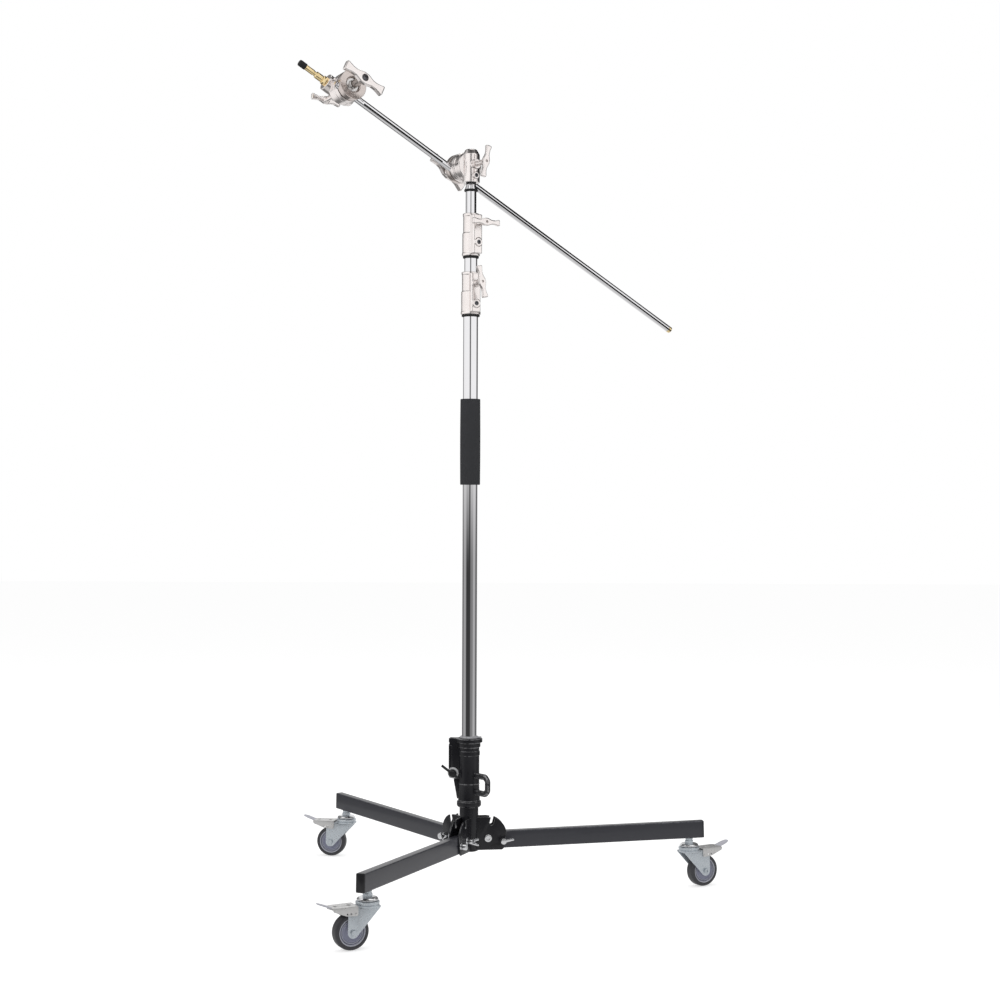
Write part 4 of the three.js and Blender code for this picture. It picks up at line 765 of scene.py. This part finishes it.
for side, azimuth in leg_azimuths.items():
    at_caster = turn("z", azimuth) @ move(caster_radius, 0, 0)
    body = f"leg_{side}_body"
    piece(f"caster_{side}_cup", [turned(cup, at_caster, steps=72)], bright_plate, body,
          [f"caster_stem_{side}"])
    piece(f"caster_{side}_nut", [turned(hex_nut, at_caster @ turn("z", 12), steps=6),
                                 turned(stem, at_caster, steps=32)], bright_zinc, body)
    swivel = at_caster @ turn("z", caster_turns[side] - azimuth)
    body = f"caster_{side}_body"
    roof = plate([both_sides([(-23, -16.5, 9), (26, -16.5, 1)])], -88, -84, 0.8, swivel @ flat)
    shells = [turned(race, swivel, steps=72), roof]
    shells += [plate([fork_outline, axle_hole], y0, y0 + 2.5, 0.7, swivel)
               for y0 in (-fork_outside, fork_inside)]
    piece(f"caster_{side}_fork_pressing", shells, bright_zinc, body, [f"caster_fork_{side}"])

    # axle: a plated bolt through the fork's eyes, with hexagon heads
    across = swivel @ move(trail, 0, wheel_radius) @ turn("x", -90)
    bolt = [(0, -18.8), (3.4, -18.8), (3.4, -20.8), (5.4, -20.8), (6, -20.1), (6, -16.8), (4, -16.8),
            (4, 16.8), (6, 16.8), (6, 20.1), (5.4, 20.8), (0, 20.8)]
    piece(f"caster_{side}_axle_bolt", [turned(bolt, across, steps=6)], bright_zinc, body,
          [f"caster_axle_{side}"])

    # wheel: a dark tread moulded on a blue-grey centre, with a pale ring in the groove between them
    body = f"wheel_{side}_body"
    tread = both_sides([(27.5, -9, 0), (29.0, -12, 0.8), (33.0, -12.4, 2), (36.2, -11.0, 2), (37.4, -7.5, 4),
                        (37.5, 0, 0)])
    piece(f"wheel_{side}_tread", [turned(tread, across, closed=True, steps=96)], tyre_rubber, body,
          [f"wheel_{side}"])
    rim = both_sides([(26.4, -9.5, 0), (27.0, -11.6, 0.4), (28.2, -11.9, 0.4), (29.0, -11.4, 0.2)])
    piece(f"wheel_{side}_ring", [turned(rim, across, closed=True, steps=96)], wheel_ring, body)
    centre = both_sides([
        (4.4, -12.5, 0), (11.0, -12.5, 0.5), (12.4, -10.5, 1), (17.5, -9.6, 0.6), (18.2, -10.6, 0.5),
        (20.0, -10.6, 0.5), (20.8, -9.4, 0.5), (22.0, -9.2, 0.4), (22.2, -6.6, 0.3), (27.2, -6.4, 0),
    ])
    piece(f"wheel_{side}_centre", [turned(centre, across, closed=True, steps=96)], wheel_plastic, body)
    ribs = [ring(22.4, 23.6, face * 6.0, face * 10.2, 0.3, across) for face in (-1, 1)]
    piece(f"wheel_{side}_rib", ribs, wheel_ring, body)

    # brake: a pressed pedal over the fork with round holes, a rubber shoe under it and a pale tip
    body = f"brake_{side}_body"
    roof_outline = both_sides([(28, -19, 3), (78, -19, 3), (84, -15, 3)])
    holes = [arc(x, 0, 4.5, 360, 0, 24)[:-1] for x in (42, 71)]
    shells = [plate([roof_outline, *holes], -91.5, -89.5, 0.6, swivel @ flat)]
    skirt = rounded([(28, 91), (28, 71), (54, 73), (82, 84), (84, 91)], [0, 4, 5, 3, 0])
    rivet_holes = [arc(x, 77, 1.6, 360, 0, 12)[:-1] for x in (44, 52)]
    shells += [plate([skirt, *rivet_holes], y0, y0 + 2, 0.6, swivel) for y0 in (-19, 17)]
    shells.append(rod(3, -21, 21, swivel @ move(32, 0, 76) @ turn("x", -90), 1.4, 24))
    piece(f"brake_{side}_pedal_pressing", shells, warm_zinc, body, [f"brake_pedal_{side}"])
    shoe = rounded([(56, 74), (64, 74), (64, 90), (56, 90)], [2, 2, 0, 0])
    piece(f"brake_{side}_shoe", [plate([shoe], -12, 12, 1.0, swivel)], rubber, body)
    tongue = swivel @ move(81.6, 0, 91.5) @ turn("y", -20) @ flat
    tongue_outline = both_sides([(0, -11, 1), (20, -11, 6), (32, -6, 7)])
    piece(f"brake_{side}_tip", [plate([tongue_outline], 0, 2.4, 0.9, tongue)], pedal_tip, body)

# Column. Three chrome-plated steel tubes slide one in another; each is bright all round, with
# faint draw marks along it, and its ends are deburred.
tube_wall = 1.8
tubes = {
    "lower": (17.5, 211.3, 1402.8, "lower_column"),
    "mid": (15.0, 389.3, 1539.3, "mid_column"),
    "top": (12.5, 517.4, 1637.4, "top_column"),
}
for name, (radius, low_end, high_end, body) in tubes.items():
    piece(f"{name}_column_tube", [ring(radius - tube_wall, radius, low_end, high_end, 0.5)], chrome, body,
          [f"{name}_riser"])

# Foam grip. Closed-cell foam pushed over the lower tube, full and slightly crowned, with a
# pitted skin and a soft edge at each end.
foam = finish("closed_cell_foam", (0.030, 0.031, 0.035), (0.042, 0.043, 0.048), 0.0, 0.85, 0.1, 60, 700, 5e-4)
foam_low, foam_high = 953.3, 1153.3
foam_outside = [(23.7 - 0.5 * math.cos(math.pi * share) ** 2 * (abs(2 * share - 1)), foam_low + 200 * share)
                for share in np.linspace(0.02, 0.98, 33)]
foam_profile = np.concatenate([
    [(17.7, foam_low + 0.4), (19, foam_low)],
    opened([(20, foam_low), (23.2, foam_low), foam_outside[0]], [0, 2.4, 0])[1:-1],
    foam_outside,
    opened([foam_outside[-1], (23.2, foam_high), (20, foam_high)], [0, 2.4, 0])[1:-1],
    [(19, foam_high), (17.7, foam_high - 0.4)],
])
piece("foam_grip_sleeve", [turned(foam_profile, closed=True, steps=96)], foam, "lower_column",
      ["foam_grip"])

# Collars. Cast alloy sleeves, shot-blasted and left bright, each screwed to the tube below and
# slit above its step, so that a wing screw in its lug can grip the tube that slides in it.
cast_alloy = finish("bright_cast_alloy", (0.91, 0.86, 0.84), (0.83, 0.77, 0.75), 1.0, 0.17, 0.10, 45, 1100,
                    1e-6, worn=(0.95, 0.93, 0.92), rubbed=0.42)
collar_height, collar_step, collar_wall, collar_top_wall = 99.0, 53.0, 5.0, 5.6
rim_proud, rim_height, lug_out, lug_half, lug_end = 1.0, 6.0, 30.5, 12.5, 4.0
boss_radius, boss_out, wing_seat, wing_stem, slit_width = 10.0, 33.0, 32.0, 24.0, 2.0
collars = {
    1: (1350.1, 17.5, 15.0, -64.0, 71.0, 24.0, 103.0, "lower_column"),
    2: (1486.6, 15.0, 12.5, -54.0, 73.0, 30.0, 0.0, "mid_column"),
}


def cast(name, shells, cutters, voxel=0.75, softness=5):
    """Shells melted into one skin with soft joins, then bored and slit by closed cutters; returns a mesh."""
    blank = add_object(name, mesh_of(name, shells))
    melt = blank.modifiers.new("melt", "REMESH")
    melt.mode = "VOXEL"
    melt.voxel_size = voxel * mm
    soften = blank.modifiers.new("soften", "SMOOTH")
    soften.iterations = softness
    return cut_by(blank, cutters)


def flared_bar(half, end, neck, hub, thick, x0, place, ease):
    """A handle's bar across the screw: full at its hub, narrow at its necks, wide at its ends."""
    quarter = np.array([(0, hub), (hub / 2, hub), (0.3 * half + hub / 2, neck), (0.62 * half, neck),
                        (half, end)])
    outline = np.concatenate([quarter, quarter[::-1] * (1, -1), quarter[1:] * (-1, -1),
                              quarter[1:][::-1] * (-1, 1)])
    soft = [0, 6, 14, 14, 3] + [3, 14, 14, 6, 0] + [6, 14, 14, 3] + [3, 14, 14, 6]
    return plate([rounded(outline, soft)], x0, x0 + thick, ease, place @ turn("z", -90))


def wing_shells(shank_from, seat, stem, place):
    """A wing screw along x: its shank, its stem and its flared bar, with the cutter for the dimple."""
    bar_from = seat + stem
    to_x = place @ turn("y", 90)
    stem_profile = opened([
        (0, shank_from), (4, shank_from), (4, seat), (7, seat), (7, seat + 2.5), (6, seat + 4),
        (6, bar_from - 5), (8, bar_from), (8, bar_from + 4), (0, bar_from + 4),
    ], [0, 0.6, 0, 0.6, 1, 1, 4, 1, 0, 0])
    shells = [turned(stem_profile, to_x, steps=40), flared_bar(37.5, 8, 5, 9, 9, bar_from, place, 2.6)]
    return shells, [rod(3.5, bar_from + 4.5, bar_from + 12, to_x, steps=32)]


rubber_ring = finish("moulded_rubber", (0.010, 0.010, 0.011), (0.018, 0.018, 0.019), 0.0, 0.5, 0.15, 70, 1500,
                     3e-5, shine=0.3)
for number, (foot, tube_radius, inner_radius, azimuth, wing_up, boss_up, tilt, body) in collars.items():
    top, step = foot + collar_height, foot + collar_step
    low, high = tube_radius + collar_wall, inner_radius + collar_top_wall
    sleeve = opened([
        (0, foot), (low + rim_proud, foot), (low + rim_proud, foot + rim_height),
        (low, foot + rim_height + 1), (low, step),
        (high, step + 1), (high, top - rim_height - 1), (high + rim_proud, top - rim_height),
        (high + rim_proud, top), (0, top),
    ], [0, 0.8, 0.6, 0.6, 1.2, 0.8, 0.6, 0.6, 1.0, 0])
    radial = turn("z", azimuth)
    lug = both_sides([(0, -lug_half, 0), (lug_out, -lug_half, 5)])
    at_boss, at_wing = radial @ move(0, 0, foot + boss_up), radial @ move(0, 0, foot + wing_up)
    shells = [
        turned(sleeve, steps=96),
        plate([lug], foot + lug_end, top - lug_end, 2.0, radial @ turn("x", 90)),
        rod(boss_radius, 0, boss_out, at_boss @ turn("y", 90), 1.2),
        rod(9.0, 0, wing_seat - 0.3, at_wing @ turn("y", 90), 0.8),
    ]
    slit = both_sides([(4, -slit_width / 2, 0), (high + 6, -slit_width / 2, 0)])
    cutters = [
        rod(tube_radius + 0.3, foot - 6, step, steps=96),
        rod(inner_radius + 0.4, step - 6, top + 6, steps=96),
        rod(4.4, 6, wing_seat + 6, at_wing @ turn("y", 90)),
        rod(5.4, boss_out - 4, boss_out + 6, at_boss @ turn("y", 90)),
        plate([slit], step + 1, top + 6, 0.0, turn("z", 180) @ turn("x", 90)),
        rod(2.4, 6, high + 6, turn("z", 180) @ move(0, 0, step + 1) @ turn("y", 90)),
    ]
    piece(f"collar_{number}_casting", cast("collar", shells, cutters), cast_alloy, body,
          [f"collar_{number}"])
    wiper = ring(tube_radius + 0.3, tube_radius + 3.6, foot - 4.9, foot - 0.3, [0.4, 1.4, 0.5, 0.3])
    piece(f"collar_{number}_wiper", [wiper], rubber_ring, body, [f"collar_{number}_ring"])
    screw_face = boss_out + 0.3
    screw = opened([(0, boss_out - 3.7), (5, boss_out - 3.7), (5, screw_face), (2.8, screw_face),
                     (2.4, screw_face - 0.4), (2.4, boss_out - 2), (0, boss_out - 2)],
                    [0, 0, 0.5, 0.2, 0, 0, 0])
    piece(f"collar_{number}_socket_screw", [turned(screw, at_boss @ turn("y", 90), steps=48)], dark_steel,
          body, [f"collar_{number}_screw"])
    shells, dimple = wing_shells(inner_radius + 0.7, wing_seat, wing_stem, at_wing @ turn("x", tilt))
    piece(f"collar_{number}_wing_casting", cast("wing", shells, dimple, 0.6, 4), cast_alloy,
          f"collar_{number}_wing_body", [f"collar_{number}_wing"])

# Column cap. A chrome cone pressed into the top tube between two black rings, with the steel
# spigot that carries the lower grip head.
cap_foot, cap_top, spigot_radius, spigot_end = 1637.7, 1657.7, 8.0, 1705.7
cap_profile = opened([
    (0, cap_foot - 22), (10.4, cap_foot - 22), (10.4, cap_foot + 0.1), (14.6, cap_foot + 0.1),
    (14.8, cap_foot + 5), (11.4, cap_top - 5), (11.2, cap_top - 0.1), (spigot_radius, cap_top - 0.1),
    (spigot_radius, spigot_end), (0, spigot_end),
], [0, 1, 0.2, 0, 0.8, 0.6, 0, 0.4, 1.2, 0])
piece("column_cap_cone", [turned(cap_profile, steps=72)], chrome, "top_column", ["riser_cap"])
for name, radius, low, high in (("low", 16, cap_foot, cap_foot + 5), ("high", 12, cap_top - 4.4, cap_top)):
    hoop = ring(radius - 4, radius, low, high, [0.3, 1.4, 1.4, 0.3], steps=72)
    piece(f"column_cap_{name}_ring", [hoop], rubber_ring, "top_column")


# Grip heads. Each is a cast alloy drum on a socket with a wing screw, and two jaw discs with
# grooves across their faces; a long T handle on a steel screw draws the discs on to the arm.
def unit(v):
    """A vector at length one."""
    return np.array(v, float) / np.linalg.norm(v)


def frame_at(origin, x_axis, near_z):
    """A frame from its origin, its x axis and a vector near its z axis."""
    x = unit(x_axis)
    y = unit(np.cross(near_z, x))
    m = np.eye(4)
    m[:3, :3] = np.stack([x, y, np.cross(x, y)], 1)
    m[:3, 3] = origin
    return m


arm_pitch, arm_azimuth = math.radians(27.4), math.radians(33.3)
arm_along = np.array([math.cos(arm_pitch) * math.cos(arm_azimuth),
                      math.cos(arm_pitch) * math.sin(arm_azimuth), -math.sin(arm_pitch)])
up = np.array([0.0, 0.0, 1.0])
screw_axis_1 = unit(np.cross(up, arm_along))
arm_up = unit(np.cross(arm_along, screw_axis_1))
arm_plane, arm_offset, head_spacing, head_tilt = 44.0, 16.0, 334.0, math.radians(7)
head_1_centre = np.array([0.0, 0.0, 1699.0])
crossing = head_1_centre + arm_plane * screw_axis_1 - arm_offset * arm_up
screw_axis_2 = -math.cos(head_tilt) * screw_axis_1 + math.sin(head_tilt) * arm_up
arm_2_up = unit(np.cross(screw_axis_2, arm_along))
head_2_centre = crossing - head_spacing * arm_along - arm_plane * screw_axis_2 + arm_offset * arm_2_up
heads = {
    1: (frame_at(head_1_centre, screw_axis_1, up), frame_at(head_1_centre, screw_axis_1, arm_up), 11.6, 78.0),
    2: (frame_at(head_2_centre, screw_axis_2, arm_along), frame_at(head_2_centre, screw_axis_2, arm_2_up),
        0.0, 70.0),
}
steel_screw = finish("turned_steel", (0.72, 0.70, 0.69), (0.60, 0.59, 0.58), 1.0, 0.14, 0.12, 120, 1900, 5e-7)
turned_alloy = finish("turned_alloy", (0.68, 0.61, 0.58), (0.58, 0.52, 0.49), 1.0, 0.16, 0.08, 45, 1400, 5e-7)
for number, (on_socket, on_arm, handle_turn, wing_turn) in heads.items():
    to_x = on_socket @ turn("y", 90)
    drum = opened([(0, -9), (18, -9), (19, 0), (31, 3.5), (32, 6), (32, 23), (34, 24), (34, 29), (0, 29)],
                   [0, 5, 3, 1.5, 1, 1, 0.6, 0.8, 0])
    at_set_screw = on_socket @ move(0, 0, -26) @ turn("y", -90)
    socket = opened([(0, -41), (20, -41), (20, 24), (13, 37), (0, 37)], [0, 1.2, 6, 6, 0])
    shells = [turned(drum, to_x, steps=96), turned(socket, on_socket, steps=80),
              rod(11, 0, 27, on_socket @ turn("y", -90), 1.0), rod(8, 0, 23.5, at_set_screw, 1.0)]
    cutters = [rod(8.4, -47, 11, on_socket), rod(4.4, 0, 33, on_socket @ turn("y", -90)),
               rod(6.4, 8, 35, to_x), rod(5, 20, 30, at_set_screw)]
    piece(f"head_{number}_drum", cast("drum", shells, cutters), cast_alloy, f"head_{number}_body_part",
          [f"head_{number}_body"])
    set_screw = opened([(0, 20.2), (4.8, 20.2), (4.8, 23.2), (2.7, 23.2), (2.4, 22.8), (2.4, 20.8),
                         (0, 20.8)], [0, 0, 0.5, 0.2, 0, 0, 0])
    piece(f"head_{number}_set_screw", [turned(set_screw, at_set_screw, steps=48)], dark_steel,
          f"head_{number}_body_part")
    shells, dimple = wing_shells(8.7, 27.3, 31.0, on_socket @ turn("z", 180) @ turn("x", wing_turn))
    piece(f"head_{number}_wing_casting", cast("wing", shells, dimple, 0.6, 4), cast_alloy,
          f"head_{number}_wing_body", [f"head_{number}_wing"])

    # jaw discs: flats with eased rims and the fine rings of the lathe, a groove across each for the arm
    arm_x = on_arm @ turn("y", 90)
    groove = rod(8.3, -68, 68, on_arm @ move(arm_plane, 0, -arm_offset) @ turn("x", 90), steps=64)
    inner = rounded([(6.4, 29.3), (34, 29.3), (34, 42.2), (6.4, 42.2)], [0.5, 1.4, 0.8, 0.6])
    ring_radius = np.linspace(32.2, 19.5, 77)
    rings = np.stack([ring_radius, 59.97 + 0.015 * np.cos(ring_radius * math.tau / 1.4)], -1)
    outer = np.concatenate([
        opened([(6.4, 45.8), (34, 45.8), (34, 60), rings[0]], [0, 0.8, 1.4, 0]), rings[1:],
        opened([rings[-1], (18.2, 58), (17.4, 57.4), (16.9, 53), (6.4, 53)], [0, 0.6, 0.4, 0.6, 0])[1:],
    ])
    for side, profile, alloy in (("inner", inner, cast_alloy), ("outer", outer, turned_alloy)):
        disc = add_object("disc", mesh_of("disc", [turned(profile, arm_x, closed=True, steps=120)]))
        piece(f"head_{number}_{side}_jaw", cut_by(disc, [groove]), alloy, f"head_{number}_discs",
              [f"head_{number}_{side}_disc"])

    # T handle: a turned hub on the screw, and a cast bar with flared ends and a deep hole in its middle
    at_handle = on_arm @ turn("x", handle_turn)
    handle_x = at_handle @ turn("y", 90)
    hub = opened([(0, 90), (9.2, 90), (11, 97), (11, 104), (0, 104)], [0, 1, 3, 0, 0])
    shells = [turned(hub, handle_x), flared_bar(53, 12.5, 7.5, 13, 13, 98, at_handle, 2.8)]
    piece(f"head_{number}_t_handle", cast("handle", shells, [rod(8.6, 103.5, 117, handle_x)], 0.7, 4),
          cast_alloy, f"head_{number}_handle_body", [f"head_{number}_handle"])
    # the screw's riveted end, recessed in the handle's hole: a real part, whose dark steel also stands in as
    # painted shade on the hole's floor
    riveted = opened([(0, 103.6), (8.3, 103.6), (8.3, 104.6), (4.2, 104.6), (4.2, 107.5), (0, 107.5)],
                      [0, 0, 0.4, 0, 0.8, 0])
    piece(f"head_{number}_riveted_end_painted_shade", [turned(riveted, handle_x, steps=48)], dark_steel,
          f"head_{number}_handle_body")
    stem = opened([
        (0, 8.4), (6, 8.4), (6, 53.3), (15.5, 53.3), (15.5, 55.6), (10, 55.6), (10, 62), (9, 63), (9, 90),
        (9.9, 91), (9.9, 97.9), (0, 97.9),
    ], [0, 1, 0, 0.5, 0.8, 0.4, 0.6, 0.5, 0.6, 0.5, 0.3, 0])
    piece(f"head_{number}_screw_stem", [turned(stem, handle_x)], steel_screw, f"head_{number}_handle_body")

# Boom arm. A chrome tube gripped by both heads, with a brass tip pressed into its low end.
at_arm = frame_at(crossing, arm_along, arm_up) @ turn("y", 90)
piece("boom_arm_tube", [ring(6.5, 8, -364, 710, [0.4, 0.5, 0.3, 0.2], at_arm, 72)], chrome, "boom",
      ["boom_arm"])
brass = finish("brass", (0.95, 0.78, 0.46), (0.86, 0.66, 0.34), 1.0, 0.10, 0.10, 160, 2000, 4e-7)
tip = opened([(0, 690), (6.1, 690), (6.1, 710.3), (8, 710.3), (8, 718.4), (6.2, 720), (0, 720)],
              [0, 0.8, 0, 0.3, 0.6, 0.8, 0])
piece("boom_arm_brass_tip", [turned(tip, at_arm)], brass, "boom", ["arm_tip"])

# Stud. Brass, with a hexagon at the head's mouth, a groove round it for a lamp's pin, and a
# black rubber cap on its nose.
at_stud = heads[2][0]
hexagon = np.array([(0, -50.3), (9.6, -50.3), (10.4, -49.5), (10.4, -42.1), (9.6, -41.3), (0, -41.3)])
shank = opened([
    (0, -102.3), (5.6, -102.3), (6.4, -101.5), (6.4, -76.2), (5.4, -74.8), (5.4, -70.4), (8, -68.6),
    (8, -53.2), (7.2, -52.0), (7.2, -50.0), (8, -50.0), (8, 3.7), (0, 3.7),
], [0, 0.3, 0.3, 0.8, 1.0, 1.0, 0.8, 0.5, 0.4, 0, 0, 1, 0])
piece("brass_stud", [turned(hexagon, at_stud, steps=6), turned(shank, at_stud)], brass, "stud_body",
      ["stud"])
cap_shell = opened([
    (0, -116.3), (7.5, -116.3), (7.5, -98.3), (6.7, -98.3), (6.7, -102.6), (0, -102.6),
], [0, 2.6, 0.3, 0.2, 0, 0])
piece("stud_rubber_cap", [turned(cap_shell, at_stud)], rubber_ring, "stud_body", ["stud_cap"])
